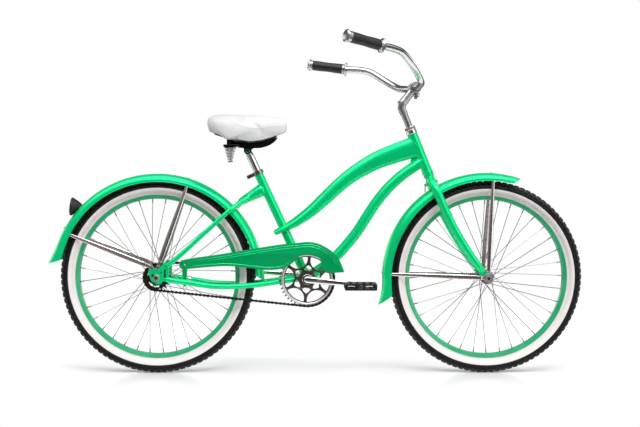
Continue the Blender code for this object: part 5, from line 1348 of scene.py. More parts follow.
def screw_head(centre, way, radius, rise):
    """A pan head with a cross recess."""
    profile = [
        (0.0, rise * 0.55), (radius * 0.24, rise * 0.55), (radius * 0.30, rise), (radius * 0.62, rise * 0.94),
        (radius * 0.90, rise * 0.62), (radius, rise * 0.22), (radius, 0.0), (0.0, 0.0)]
    return lathe(profile, centre, way, 24)


# The chainguard gets the frame's enamel as a darker copy: painted shade for its flat face, which mirrors the dark
# walls.
SHADED_GUARD_GREEN = enamel("guard_enamel", (0.0, 0.49, 0.148), (0.0, 0.53, 0.168), 0.24)


def chainguard():
    top = curve_through(GUARD_TOP, 6)
    low = curve_through(GUARD_LOW, 6)
    outline = [tuple(point) for point in top] + [tuple(point) for point in low]
    parts = [pressed_plate([outline], SHEET, 0.0002, -GUARD_PLANE)]
    edge = top[12:-2]
    front, back = -GUARD_PLANE - SHEET / 2, -GUARD_PLANE - SHEET / 2 + 0.0100
    fold = (
        (0.9, front - 0.0001), (0.35, front + 0.0001), (0.0, front + 0.0007), (0.0, back - 0.0004), (0.3, back),
        (0.7, back), (1.0, back - 0.0004), (1.0, front + 0.0012))
    rings = [
        [(x0 + (x1 - x0) * share, y, z0 + (z1 - z0) * share) for share, y in fold] for (x0, z0),
        (x1, z1) in zip(edge, beside(edge, SHEET))]
    parts.append(skin(rings))
    face = front + 0.0001
    for edge, distance, first, last in ((top, 0.0085, 14, -6), (top, 0.0150, 16, -9), (low, 0.0075, 66, -8)):
        path = [(x, face, z) for x, z in beside(edge, distance)[first:last]]
        sizes = np.full(len(path), 0.0014)
        sizes[:3] *= (0.3, 0.7, 0.92)
        sizes[-3:] *= (0.92, 0.7, 0.3)
        parts.append(tube(path, sizes * 0.75, sizes, sides=10))
    strap_x, stay_y, stay_z = 0.0885, 0.0600, 0.2929
    step_z = stay_z + CHAINSTAY_RADIUS + 0.0065
    strap = box(strap_x - 0.0077, strap_x + 0.0077, step_z, 0.3425)
    parts.append(pressed_plate([rounded(strap, 0.003)], SHEET, 0.0003, -GUARD_PLANE + SHEET * 0.6))
    behind = stay_y - CHAINSTAY_RADIUS - 0.0006 - SHEET / 2
    eye_z = stay_z - CHAINSTAY_RADIUS - 0.0100
    hanger = box(strap_x - 0.0040, strap_x + 0.0040, eye_z + 0.0045, step_z + 0.003)
    parts.append(pressed_plate([rounded(hanger, 0.001)], SHEET, 0.0003, -behind))
    shelf = box(strap_x - 0.0040, strap_x + 0.0040, step_z + 0.0004, step_z + 0.0024)
    parts.append(pressed_plate([shelf], GUARD_PLANE - behind, 0.0003, -(GUARD_PLANE + behind) / 2))
    eye = mm((3.6, 0), (4, 1.1), (5.3, 1.7), (6.6, 1.1), (7, 0), (6.6, -1.1), (5.3, -1.7), (4, -1.1))
    screws = [lathe(eye, (strap_x, -behind, eye_z), -LEFT, 28)]
    parts.append(screw_head((0.5575, front - 0.0001, 0.3560), -LEFT, 0.0030, 0.0014))
    spacer = mm((0, 17.5), (4.6, 17.5), (5, 18), (5, 53), (4.6, 53.6), (0, 53.6))
    parts.append(lathe(spacer, (0.5620, 0.0, 0.3672), -LEFT, 24))
    piece("chainguard_enamel", joined(*parts), SHADED_GUARD_GREEN, "frame", "green_paint", "chainguard")
    screws.append(screw_head((strap_x, front - 0.0001, 0.3470), -LEFT, 0.0030, 0.0016))
    piece("chainguard_screws", joined(*screws), NUT_ZINC, "frame", "chrome")


chainguard()


# The crank. A one-piece forging in bright chrome: two tapering arms with a spindle between them, and in
# each arm's end a boss with the pedal's spindle screwed in.

CRANK_LENGTH = 0.1655
CRANK_OUT = 0.0700
PEDAL_WIDTH = 0.068
ARM = mm(
    (-10.5, 56.5, 9, 10.5), (-8, 56.5, 15, 12.5), (0, 56.5, 21.2, 13), (30, 59, 20.5, 12), (58, 64, 19, 11),
    (110, 67.2, 16.5, 10.5)) + [(CRANK_LENGTH, CRANK_OUT, 0.0150, 0.0100)]


def crank_point(side, reach, out):
    """A point along the right or left arm, by its distance from the spindle and from the middle plane."""
    return BRACKET - CRANK_AHEAD * side * reach + LEFT * side * out


def crank():
    parts = []
    table = curve_through(ARM, 6)
    for side in (-1, 1):
        path = [crank_point(side, *row) for row in table[:, :2]]
        parts.append(tube(path, table[:, 3] / 2, table[:, 2] / 2, sides=32, power=2.7))
        centre = crank_point(side, CRANK_LENGTH, CRANK_OUT)
        boss = mm(
            (0, -6.5), (11.2, -6.5), (12.2, -5.8), (12.5, -4.8), (12.5, 4.8), (12.2, 5.8), (11.2, 6.5), (0, 6.5))
        parts.append(lathe(boss, centre, LEFT, 48))
        end = 0.0085 + PEDAL_WIDTH * 0.93
        spindle = mm(
            (0, 0), (6.6, 0), (6.6, 7.2), (6, 7.6), (4.8, 7.9)) + [(0.0048, end - 0.0006), (0.0042, end), (0.0, end)]
        parts.append(lathe(spindle, centre, LEFT * side, 32))
    profile = mm(
        (0, 56), (10, 56), (10.5, 47), (15.2, 47), (16, 46.2), (16, 40.2), (15.2, 39.4), (10.5, 39.4), (10.5, -39.4),
        (15.2, -39.4), (16, -40), (16, -43.6), (15.4, -44), (10.5, -44), (10.5, -47), (15.8, -47), (16.5, -47.8),
        (16.5, -52.7), (15.7, -53.5), (0, -53.5))
    parts.append(lathe(profile, BRACKET, LEFT, 56))
    piece("crank_chrome", joined(*parts), CHROME, "crank", "chrome", "crank")


crank()


# The pedals. Black moulded blocks with ribbed treads between two end plates. Each turns on its spindle by a
# chromed barrel.

PEDAL_LENGTH = 0.100
PEDAL_HEIGHT = 0.021


def moulded(name, colour, roughness, grain, sheen=0.34):
    """Moulded black plastic or rubber with a fine grain from the mould."""
    plastic = Finish(name, colour, roughness, 0.0, {"Specular IOR Level": sheen})
    return plastic.wear_and_shade(
        (70.0, 5.0, 0.65), (0.62, 0.14), (colour, faded(colour, 2.2)), (0.16, roughness - 0.06),
        (grain, 2.0, 0.00012), 0.6)


BLACK_PLASTIC = moulded("black_plastic", (0.012, 0.012, 0.013), 0.40, 900.0)


def ribbed_bar(x, width, ribs):
    """Two tread bars along the pedal's axle, with ribs along the upper one's top and the lower one's bottom."""
    half, top, low, groove = width / 2, PEDAL_HEIGHT / 2, 0.0048, PEDAL_HEIGHT / 2 - 0.0014
    section = [(-half, low), (-half, groove)]
    for i in range(ribs):
        left = -half + width * i / ribs
        right = -half + width * (i + 1) / ribs
        gap = 0.16 * width / ribs
        section += [(left + gap, top), (right - gap, top), (right, groove)]
    section.append((half, low))
    reach = PEDAL_WIDTH / 2 - 0.004
    return joined(*(skin([[(x + a, y, b * way) for a, b in section] for y in (-reach, reach)]) for way in (-1, 1)))


def pedal(name, side, tilt):
    middle = crank_point(side, CRANK_LENGTH, CRANK_OUT + 0.0080 + PEDAL_WIDTH / 2)
    half, top = PEDAL_LENGTH / 2, PEDAL_HEIGHT / 2
    edge = [
        (-half, -0.0090), (-half + 0.0055, -top), (half - 0.0055, -top), (half, -0.0090), (half, 0.0090),
        (half - 0.0055, top), (-half + 0.0055, top), (-half, 0.0090)]
    outlines = [rounded(edge, 0.0022), round_hole(0.0068, 0.0, 0.0, 28)]
    outlines += [rounded(box(end * 0.0135, end * 0.0415, -0.0042, 0.0042), 0.0040) for end in (-1, 1)]
    parts = [pressed_plate(outlines, 0.0055, 0.0007, face * (PEDAL_WIDTH / 2 - 0.00275)) for face in (-1, 1)]
    parts += [ribbed_bar(x, 0.0120, 3) for x in (-0.0430, -0.0205, 0.0205, 0.0430)]
    parts.append(lathe(box(0.0062, 0.0098, -0.0300, 0.0300), (0.0, 0.0, 0.0), LEFT, 32))
    barrel = mm((5.4, -33.8), (6.6, -33.8), (6.6, 33), (5.4, 33.8))
    sleeve = lathe(barrel, (0.0, 0.0, 0.0), LEFT, 32)
    cap = mm((0, 29), (6.4, 29), (6.4, 33.2), (5.8, 34), (0, 34))
    lid = lathe(cap, (0.0, 0.0, 0.0), LEFT * side, 28)
    turn = Matrix.Translation(middle) @ Matrix.Rotation(tilt, 4, "Y")
    for mesh in (*parts, sleeve, lid):
        mesh.transform(turn)
    piece(f"{name}_block", joined(*parts), BLACK_PLASTIC, name, "black_plastic", name)
    piece(f"{name}_barrel", joined(sleeve, lid), CHROME, name, "chrome")


pedal("pedal_right", -1, 0.0)
pedal("pedal_left", 1, math.radians(-60))


# The fenders. Rolled sheet steel arches with a turned-in lip, painted with the frame. Each tip is rounded,
# and the lower one flares out. Domed rivets hold the stays, and the rear one carries the reflector.

FENDER_HALF_WIDTH = 0.035
REAR_DROP = 0.012
REAR_FENDER = 0.3385
FRONT_FENDER = 0.3330
REAR_LIP = ((0, 0.0250), (110, 0.0250), (130, 0.0253), (145, 0.0270), (160, 0.0292))
FRONT_LIP = (
    (76, 0.0218), (85, 0.0236), (100, 0.0243), (112, 0.0258), (130, 0.0268), (150, 0.0288), (165, 0.0275),
    (182, 0.0262))


def lip_depth(axle, angle):
    """How far the sides of a fender reach down from its crown, which changes along the arch."""
    return np.interp(np.degrees(angle), *np.transpose(REAR_LIP if axle.x < 0.5 else FRONT_LIP))


def fender_point(axle, radius, drop, angle, across):
    """A point of a fender's sheet at an angle round the wheel; across goes from -1 to 1 over the sheet."""
    beta = across * math.pi / 2
    reach = radius - lip_depth(axle, angle) * (1 - max(math.cos(beta), 0.0)**0.8)
    return np.array((
        axle.x + reach * math.cos(angle), FENDER_HALF_WIDTH * math.sin(beta),
        axle.z - drop + reach * math.sin(angle)))


def folded_sheet(rows, thickness):
    """A thin sheet over a grid of points, thickened outward, with its edges rounded."""
    rows = np.array(rows)
    along = np.gradient(rows, axis=0)
    across = np.gradient(rows, axis=1)
    normal = np.cross(along, across)
    normal /= np.linalg.norm(normal, axis=-1)[..., None]
    outer = rows + normal * thickness
    count, wide = rows.shape[:2]
    points = np.concatenate([rows.reshape(-1, 3), outer.reshape(-1, 3)])
    inside = np.arange(count * wide).reshape(count, wide)
    outside = inside + count * wide
    faces = []
    for grid, flip in ((inside, False), (outside, True)):
        quads = np.stack([grid[:-1, :-1], grid[:-1, 1:], grid[1:, 1:], grid[1:, :-1]], axis=-1).reshape(-1, 4)
        faces += (quads[:, ::-1] if flip else quads).tolist()
    rim = (
        [(0, j) for j in range(wide)] + [(i, wide - 1) for i in range(1, count)]
        + [(count - 1, j) for j in range(wide - 2, -1, -1)] + [(i, 0) for i in range(count - 2, 0, -1)])
    for (i, j), (k, m) in zip(rim, rim[1:] + rim[:1]):
        faces.append([int(inside[i, j]), int(inside[k, m]), int(outside[k, m]), int(outside[i, j])])
    mesh = bpy.data.meshes.new("sheet")
    mesh.from_pydata(points.tolist(), [], faces)
    return outward(mesh)


def rivet(centre, way):
    profile = mm((0, 2), (1.575, 1.9), (3.15, 1.4), (4.185, 0.6), (4.5, 0), (4.5, -0.6), (0, -0.6))
    return lathe(profile, centre, way, 24)


def fender(name, body, axle, radius, drop, span, tips, flare_out, rivets):
    first, last = span
    rows = []
    for share in np.arange(133) / 132:
        row = []
        for across in np.arange(-12, 13) / 12:
            crown = math.cos(across * math.pi / 2)
            start = first - tips[0] * crown
            end = last + tips[1] * crown
            angle = start + (end - start) * share
            flare = flare_out * max(1 - (last - angle) / math.radians(9), 0.0)**2
            row.append(fender_point(axle, radius + flare * (0.3 + 0.7 * crown), drop, angle, across))
        rows.append(row)
    grid = np.array(rows)
    parts = [folded_sheet(grid, SHEET)]
    border = np.concatenate([grid[:, 0], grid[-1, 1:], grid[-2::-1, -1], grid[0, -2:0:-1]])
    smooth = (np.roll(border, 1, axis=0) + border * 2 + np.roll(border, -1, axis=0)) / 4
    parts.append(bead(smooth, (smooth - np.array((axle.x, 0.0, axle.z - drop))) * (1.0, 0.0, 1.0), 0.0010, 8))
    piece(f"{name}_enamel", joined(*parts), GREEN, body, "green_paint", name, corner=50.0)
    heads = []
    for x, z in rivets:
        way = Vector((x - axle.x, 0.0, z - axle.z + drop)).normalized()
        heads.append(rivet(Vector((axle.x, 0.0, axle.z - drop)) + way * (radius + SHEET), way))
    piece(f"{name}_rivets", joined(*heads), CHROME, body, "chrome")


def radians(*angles):
    return tuple(math.radians(angle) for angle in angles)


fender(
    "rear_fender", "frame", REAR_AXLE, REAR_FENDER, REAR_DROP, radians(2.9, 168.1), radians(3.0, 3.3), 0.007,
    ((0.0945, 0.6107), (-0.2846, 0.4541)))
fender(
    "front_fender", "fork", FRONT_AXLE, FRONT_FENDER, 0.0, radians(74.4, 191.4), radians(3.2, 3.2), 0.013,
    ((0.7229, 0.3192), (1.0623, 0.6333)))
piece(
    "bridge_fender_bolt", hexagon_nut((BRIDGE.x - 0.0070, 0.0, 0.3180), (-1, 0, 0), 0.0100, 0.0062, 0.0005),
    DARK_STEEL, "frame", "dark_steel")


# The fender stays. Flattened chromed rods that taper to a point inside the fender's lip: a pair from each
# rear dropout, and a pair from each end of the front axle, whose nut holds their eyes.

STAY_EYE = 0.0016
STAY_WIDTH = 0.0155
STAY_THICKNESS = 0.0042


def stay_chrome():
    """Thin plate with a pink cast, brushed a little along its length."""
    plate = Finish("stay_chrome", (0.86, 0.79, 0.79), 0.24, 1.0)
    return plate.wear_and_shade(
        (60.0, 4.0, 0.6), (0.55, 0.2), ((0.88, 0.81, 0.81), (0.74, 0.66, 0.66)), (0.12, 0.17), (45.0, 1.0, 0.00020),
        0.4)


STAY_CHROME = stay_chrome()


def stay(foot, head, side, eye_radius, hole):
    """Flat at its eye, then oval and leaning in, and drawn to a point at the fender."""
    way = head - foot
    flat_way = Vector((way.x, 0.0, way.z)).normalized()
    flat = STAY_THICKNESS * 0.55
    turn = foot + LEFT * side * (flat / 2 - STAY_EYE / 2) + flat_way * 0.032
    table = [
        (*(foot + flat_way * 0.0045), 0.52, STAY_EYE * 0.92), (*(foot + flat_way * 0.0180), 0.70, STAY_EYE * 0.95),
        (*turn, 0.85, flat), (*turn.lerp(head, 0.25), 1.0, STAY_THICKNESS),
        (*turn.lerp(head, 0.65), 0.85, STAY_THICKNESS), (*turn.lerp(head, 0.93), 0.60, STAY_THICKNESS * 0.6),
        (*head, 0.34, STAY_THICKNESS * 0.34)]
    table = curve_through(table, 6)
    rod = tube(table[:, :3], table[:, 4] / 2, table[:, 3] * STAY_WIDTH / 2, sides=20)
    edge = STAY_EYE / 2
    eye = ring_section(hole, eye_radius, -edge, edge, 0.0004, 0.0004)
    return joined(rod, lathe(eye, foot, LEFT, 36))


def stay_head(axle, radius, drop, angle, side):
    at = math.radians(angle)
    reach = radius - lip_depth(axle, at) + 0.004
    return Vector((
        axle.x + reach * math.cos(at), side * (FENDER_HALF_WIDTH - 0.0026), axle.z - drop + reach * math.sin(at)))


def stays():
    for word, side in SIDES:
        lug = DROPOUT_MIDDLE + DROPOUT_THICKNESS / 2 + 0.0003 + STAY_EYE / 2
        for part, foot_x, angle in (("upper", 0.0050, 72.6), ("lower", -0.0150, 152.2)):
            foot = Vector((foot_x, side * lug, 0.0328 + AXLE_HEIGHT))
            mesh = stay(foot, stay_head(REAR_AXLE, REAR_FENDER, REAR_DROP, angle, side), side, 0.0070, 0.0026)
            bolt = hexagon_nut(foot + LEFT * side * STAY_EYE / 2, LEFT * side, 0.0078, 0.0030, 0.0004)
            shank = tube([foot - LEFT * side * at for at in (-0.0010, 0.0040)], 0.0025, sides=14)
            name = f"rear_{part}_stay_{word}"
            piece(f"{name}_chrome", joined(mesh, bolt, shank), STAY_CHROME, "frame", "chrome", name)
        for part, layer, angle in (("upper", 1, 86.9), ("rear", 0, 178.2)):
            foot = FRONT_AXLE + LEFT * side * (0.0553 + STAY_EYE / 2 + layer * (STAY_EYE + 0.0003))
            mesh = stay(foot, stay_head(FRONT_AXLE, FRONT_FENDER, 0.0, angle, side), side, 0.0100, 0.0052)
            name = f"front_{part}_stay_{word}"
            piece(f"{name}_chrome", mesh, STAY_CHROME, "fork", "chrome", name)


stays()


# The reflector. A round red lens with a field of small prisms, in a black moulded housing that tapers down
# to the rear fender's crown.

def red_glass():
    """Clear red moulding: small raised prisms in rows, under a smooth glossy face."""
    lens = Finish("red_lens", (0.55, 0.008, 0.006), 0.10, 0.0, {"Coat Weight": 1.0, "Coat Roughness": 0.03})
    cells = lens.cells(340.0, 0.0)
    # The grooves between the prisms are painted a darker red: painted shade in the recesses.
    lens.set("Base Color", lens.mix(cells.above(0.10, 0.08), (0.30, 0.004, 0.003), (0.62, 0.012, 0.010)))
    lens.set("Roughness", lens.noise(80.0) * 0.06 + 0.07)
    lens.bump(cells, 0.0008, 0.8)
    return lens.material


def reflector():
    tilt = math.radians(6.3)
    axis = Vector((-math.cos(tilt), 0.0, math.sin(tilt)))
    reach, at = REAR_FENDER + 0.02302, math.radians(139.769)
    face = REAR_AXLE + Vector((reach * math.cos(at), 0.0, reach * math.sin(at) - REAR_DROP))
    shell = mm(
        (0, -3.5), (26.7, -3.5), (26.7, -0.2), (27.1, 0), (28.2, -0.4), (28.7, -1.2), (28.7, -4.8), (28.1, -6.2),
        (25.5, -11), (20, -22), (13.5, -31.5), (8.2, -38.5), (7, -39.8), (0, -40))
    housing = lathe(shell, face, axis, 56)
    middle = np.array((0.0, 0.0, AXLE_HEIGHT - REAR_DROP))
    spots = np.array([vertex.co for vertex in housing.vertices])
    apart = spots - middle
    radial = np.hypot(apart[:, 0], apart[:, 2])
    across = np.clip(np.abs(spots[:, 1]) / (FENDER_HALF_WIDTH + SHEET), 0.0, 0.999)
    depth = lip_depth(REAR_AXLE, np.arctan2(apart[:, 2], apart[:, 0]))
    crown = REAR_FENDER + SHEET + 0.0003 - depth * (1 - np.cos(np.arcsin(across))**0.8)
    pushed = np.maximum(radial, crown) / radial
    spots[:, 0] = middle[0] + apart[:, 0] * pushed
    spots[:, 2] = middle[2] + apart[:, 2] * pushed
    housing.vertices.foreach_set("co", spots.ravel())
    piece("reflector_housing_moulding", housing, BLACK_PLASTIC, "frame", "black_plastic", "reflector_housing")
    lens = mm((0, -0.2), (15, -0.4), (25.5, -0.7), (26.3, -1.2), (26.4, -3.2), (0, -3.2))
    piece("reflector_lens_moulding", lathe(lens, face, axis, 56), red_glass(), "frame", "red_lens", "reflector_lens")


reflector()


# The stem and handlebar. A forged, chromed stem clamps the middle of one swept steel tube, which rises and
# runs back to the grips. The stem stands a little to the side, as the bicycle was left.

BAR_RADIUS = 0.0111
STEM_HEIGHT = 0.2240
STEM_REACH = Vector((0.0445, 0.0, 0.0575))
STEM_TOP = steering(STEM_HEIGHT)
BAR_CENTRE = STEM_TOP + STEM_REACH
STEM_TURN = (
    Matrix.Translation(HEAD_LOW) @ Matrix.Rotation(math.radians(8.4), 4, STEER_UP) @ Matrix.Translation(-HEAD_LOW))
BAR_HALF = mm(
    (0, 0, 0), (0, 27, 0), (2.9, 55, 1.8), (-2, 100, 6.5), (-19.2, 150, 14.9), (-50, 200, 42), (-91.9, 241.1, 75.4),
    (-125, 264, 86), (-166.2, 288.2, 90.7))
GRIP_WAY = Vector((-0.1209, 0.0540, 0.0202)).normalized()


def stem():
    quill = tube([STEM_TOP - STEER_UP * at for at in (0.184, 0.120, 0.060, 0.010, 0.002)], 0.0110, sides=36)
    route = [
        steering(STEM_HEIGHT - 0.030), steering(STEM_HEIGHT - 0.008), STEM_TOP + STEM_REACH * 0.12,
        STEM_TOP + STEM_REACH * 0.35, BAR_CENTRE - STEM_REACH * 0.1]
    table = curve_through(
        [(*point, radius) for point, radius in zip(route, (0.0116, 0.0122, 0.0134, 0.0128, 0.0124))], 6)
    neck = tube(table[:, :3], table[:, 3], sides=48, power=3.2)
    clamp = ring_section(BAR_RADIUS + 0.0003, 0.0185, -0.0200, 0.0200, 0.0009, 0.0009)
    ring = lathe(clamp, BAR_CENTRE, LEFT, 64)
    bolt_at = BAR_CENTRE + Vector((0.006, 0.0, -0.021))
    lug = pressed_plate([rounded(box(-0.0090, 0.0090, -0.0065, 0.0065), 0.003)], 0.0240, 0.0012, 0.0)
    lug.transform(Matrix.Translation(bolt_at) @ Matrix.Rotation(0.3, 4, "Y"))
    bolt_way = Vector((0.004, 0.0, 0.018)).normalized()
    head = hexagon_nut(bolt_at - bolt_way * 0.0142, bolt_way, 0.0094, 0.0068, 0.0005)
    expander = hexagon_nut(STEM_TOP + STEER_UP * 0.0100, STEER_UP, 0.0104, 0.0065, 0.0005)
    body = joined(quill, neck, ring, lug, head, expander)
    body.transform(STEM_TURN)
    piece("stem_forging", body, polished("satin_chrome", (0.47, 0.465, 0.465), 0.31), "stem", "chrome", "stem")


def swept(route, radius, sides, finish):
    """A tube along a smooth line, made by Geometry Nodes."""
    wire = bpy.data.meshes.new("route")
    wire.from_pydata([tuple(point) for point in route], [(i, i + 1) for i in range(len(route) - 1)], [])
    growth = Growth("swept_tube", {"Radius": radius, "Sides": sides, "Finish": finish})
    ring = growth.node(
        "GeometryNodeCurvePrimitiveCircle", {"Radius": growth.size("Radius"), "Resolution": growth.size("Sides")})
    pipe = growth.node(
        "GeometryNodeCurveToMesh", {"Curve": growth.base_line(), "Profile Curve": ring, "Fill Caps": True})
    return outward(growth.mesh(pipe, growth.size("Finish"), wire))


def mirrored(point, side):
    """A point on the left, or its mirror image on the right."""
    return Vector((point.x, point.y * side, point.z))


def grip_line(side):
    """The grip's start on the bar and the way that it points."""
    return mirrored(BAR_CENTRE + Vector(BAR_HALF[-1]), side), mirrored(GRIP_WAY, side)


def handlebar():
    start, way = grip_line(1)
    left = [BAR_CENTRE + Vector(point) for point in BAR_HALF] + [start + way * 0.02, start + way * 0.133]
    whole = [mirrored(point, -1) for point in left[:0:-1]] + left
    route = curve_through(whole, 10)
    plating = polished("bar_chrome", (0.78, 0.765, 0.77), 0.15)
    body = swept(route, BAR_RADIUS, 36, plating)
    body.transform(STEM_TURN)
    piece("handlebar_chrome", body, plating, "handlebar", "chrome", "handlebar")


GRIP_RUBBER = moulded("grip_rubber", (0.011, 0.011, 0.012), 0.36, 700.0, 0.54)
FITTING_CHROME = polished("fitting_chrome", (0.60, 0.595, 0.60), 0.20)


def grips():
    """On each end a chromed collar with a flange, a smooth black grip, and a domed chromed cap."""
    bore, radius, length, collar_length, cap_length = BAR_RADIUS + 0.0004, 0.0165, 0.104, 0.0130, 0.0200
    for word, side in SIDES:
        start, way = grip_line(side)
        turned = mm(
            (21.5, 0.2), (22.5, 1), (22.5, 3.2), (21.7, 4), (18, 6), (16.8, 7.2), (16.5, 8.2), (15.8, 8.8),
            (15.8, 9.6), (16.5, 10.2), (16.5, 12.6), (16.1, 13))
        collar = [(bore, 0.0), *turned, (bore, collar_length)]
        low, high = collar_length + 0.0003, collar_length + length
        grip = [(bore, low), (0.0158, low), (0.0165, low + 0.0008)]
        for at in np.linspace(0.02, 0.98, 25):
            grip.append((
                radius - 0.0009 * math.sin(math.pi * at)**2 + 0.0004 * math.sin(math.pi * at * 2)**2,
                low + (high - low) * at))
        grip += [(0.0165, high - 0.0008), (0.0158, high), (bore, high)]
        near, far = high + 0.0003, high + cap_length
        dome = mm(
            (0, 0), (6, 0.1), (11, 0.6), (15, 1.8), (17.8, 3.6), (19.2, 5.2), (19.5, 6.6), (19.1, 8.2), (17.2, 9.8),
            (16.5, 10.6))
        cap = [(out, far - down) for out, down in dome] + [(0.0165, near + 0.0004), (0.0161, near), (0.0, near)]
        for label, profile, finish, slot in (
                ("grip_collar", collar, FITTING_CHROME, "chrome"), ("grip", grip, GRIP_RUBBER, "grip_rubber"),
                ("grip_end_cap", cap, FITTING_CHROME, "chrome")):
            mesh = lathe(profile, start, way, 56)
            mesh.transform(STEM_TURN)
            piece(f"{label}_{word}_turned", mesh, finish, "handlebar", slot, f"{label}_{word}")


stem()
handlebar()
grips()


# The seat post and its clamp. A chromed tube slides in the seat tube, and a split steel collar with a bolt
# behind it holds its height. A barrel across the post's top carries the saddle's clamp bolt.

POST_TOP = SEAT_TOP + SEAT_UP * 0.071


def seat_clamp():
    width, inner = 0.0125, SEAT_TUBE_RADIUS + 0.0003
    back = -Vector((SEAT_UP.z, 0.0, -SEAT_UP.x))
    collar = ring_section(inner, inner + 0.0030, -width, 0.0, 0.0006, 0.0006)
    parts = [lathe(collar, SEAT_TOP, SEAT_UP, 56)]
    for side in (-1, 1):
        ear = rounded(box(0.0160, 0.0385, -width * 0.48, width * 0.48), 0.0042)
        lobe = pressed_plate([ear], 0.0052, 0.0010, side * 0.0045)
        lobe.transform(
            Matrix.Translation(SEAT_TOP - SEAT_UP * width / 2) @ Matrix((back, LEFT, SEAT_UP)).transposed().to_4x4())
        parts.append(lobe)
    middle = SEAT_TOP - SEAT_UP * width / 2 + back * 0.0330
    shank = mm((0, -9.8), (2.8, -9.8), (2.8, 9.8), (0, 9.8))
    parts.append(lathe(shank, middle, LEFT, 24))
    parts.append(hexagon_nut(middle + LEFT * 0.0070, LEFT, 0.0086, 0.0052, 0.0005))
    head = mm((0, 3.4), (1.8, 3.4), (2.2, 5.4), (4, 5.4), (4.5, 4.8), (4.5, 0), (0, 0))
    parts.append(lathe(head, middle - LEFT * 0.0071, -LEFT, 24))
    clamp_steel = worn_steel("clamp_steel", (0.40, 0.36, 0.35), 0.26)
    piece("seat_clamp_steel", joined(*parts), clamp_steel, "frame", "dark_steel", "seat_clamp")


def seat_post():
    post = mm(
        (0, -180.6), (11.9, -180.6), (12.7, -179.8), (12.7, -30), (12.6, -24), (12, -17), (11.2, -11), (10.6, -4),
        (0, -1))
    barrel = mm(
        (0, -19), (11.6, -19), (12.4, -18.2), (12.4, -12), (11.7, -10.8), (11.7, 10.8), (12.4, 12), (12.4, 18.2),
        (11.6, 19), (0, 19))
    bolt = mm((0, -25.6), (3.8, -25.6), (3.8, 25.6), (0, 25.6))
    parts = [lathe(post, POST_TOP, SEAT_UP, 48), lathe(barrel, POST_TOP, LEFT, 48), lathe(bolt, POST_TOP, LEFT, 24)]
    for side in (-1, 1):
        parts.append(hexagon_nut(POST_TOP + LEFT * side * 0.0238, LEFT * side, 0.0128, 0.0058, 0.0036))
    piece("seatpost_chrome", joined(*parts), CHROME, "seatpost", "chrome", "seatpost")


seat_clamp()
seat_post()


# The saddle. A pressed black pan on two clamp ears carries a fat white cushion, wide behind and narrow at
# the nose, in soft vinyl with a welted seam. Two chromed cone springs stand between its plate and their bolts.

SADDLE_RISE = 0.1095
SADDLE_UNDERSIDE = mm(
    (-117.8, 56.5), (-74.8, 42.5), (-39.8, 30.1), (7.2, 24.9), (48.2, 30.5), (92.7, 45.5), (120.2, 56.5))
PAN_HALF_WIDTH = mm((-108.8, 70), (-69.8, 82), (-29.8, 70), (15.2, 40), (65.2, 24), (107.2, 18))
CUSHION = mm(
    (-124.8, 57, -7), (-120.8, 75, -1.5), (-99.8, 94, 1), (-69.8, 100, 1.5), (-34.8, 90, 0.5), (0.2, 64, -0.5),
    (35.2, 43, -0.5), (70.2, 33, -1), (100.2, 27, -5), (117.2, 21, -9), (125.2, 14, -16))
WELT_SHARE = (
    (-0.125, 0.78), (-0.085, 0.80), (-0.060, 0.76), (-0.038, 0.67), (-0.015, 0.59), (0.010, 0.54), (0.040, 0.52),
    (0.125, 0.52))
SPRING_PLACE = POST_TOP + Vector((-0.0558, 0.0600, 0.0115))
SPRING_LENGTH = 0.041
SPRING_WIRE = 0.0013
BLACK_METAL = worn_steel("black_metal", (0.030, 0.026, 0.028), 0.34)


def from_table(table, at):
    """A value at a place in a table, along a smooth curve."""
    smooth = curve_through(table, 8)
    return np.interp(at, smooth[:, 0], smooth[:, 1])


def saddle_point(ahead, left, above):
    return POST_TOP + Vector((ahead, left, above))


def underside(ahead):
    """The height of the cushion's lower face over the post's top."""
    return np.interp(ahead, *np.transpose(SADDLE_UNDERSIDE))


def spring_axis(side, rise):
    """A point on the axis of the right or left spring, by its height over the spring's top."""
    return Vector((SPRING_PLACE.x, side * SPRING_PLACE.y, SPRING_PLACE.z + rise))


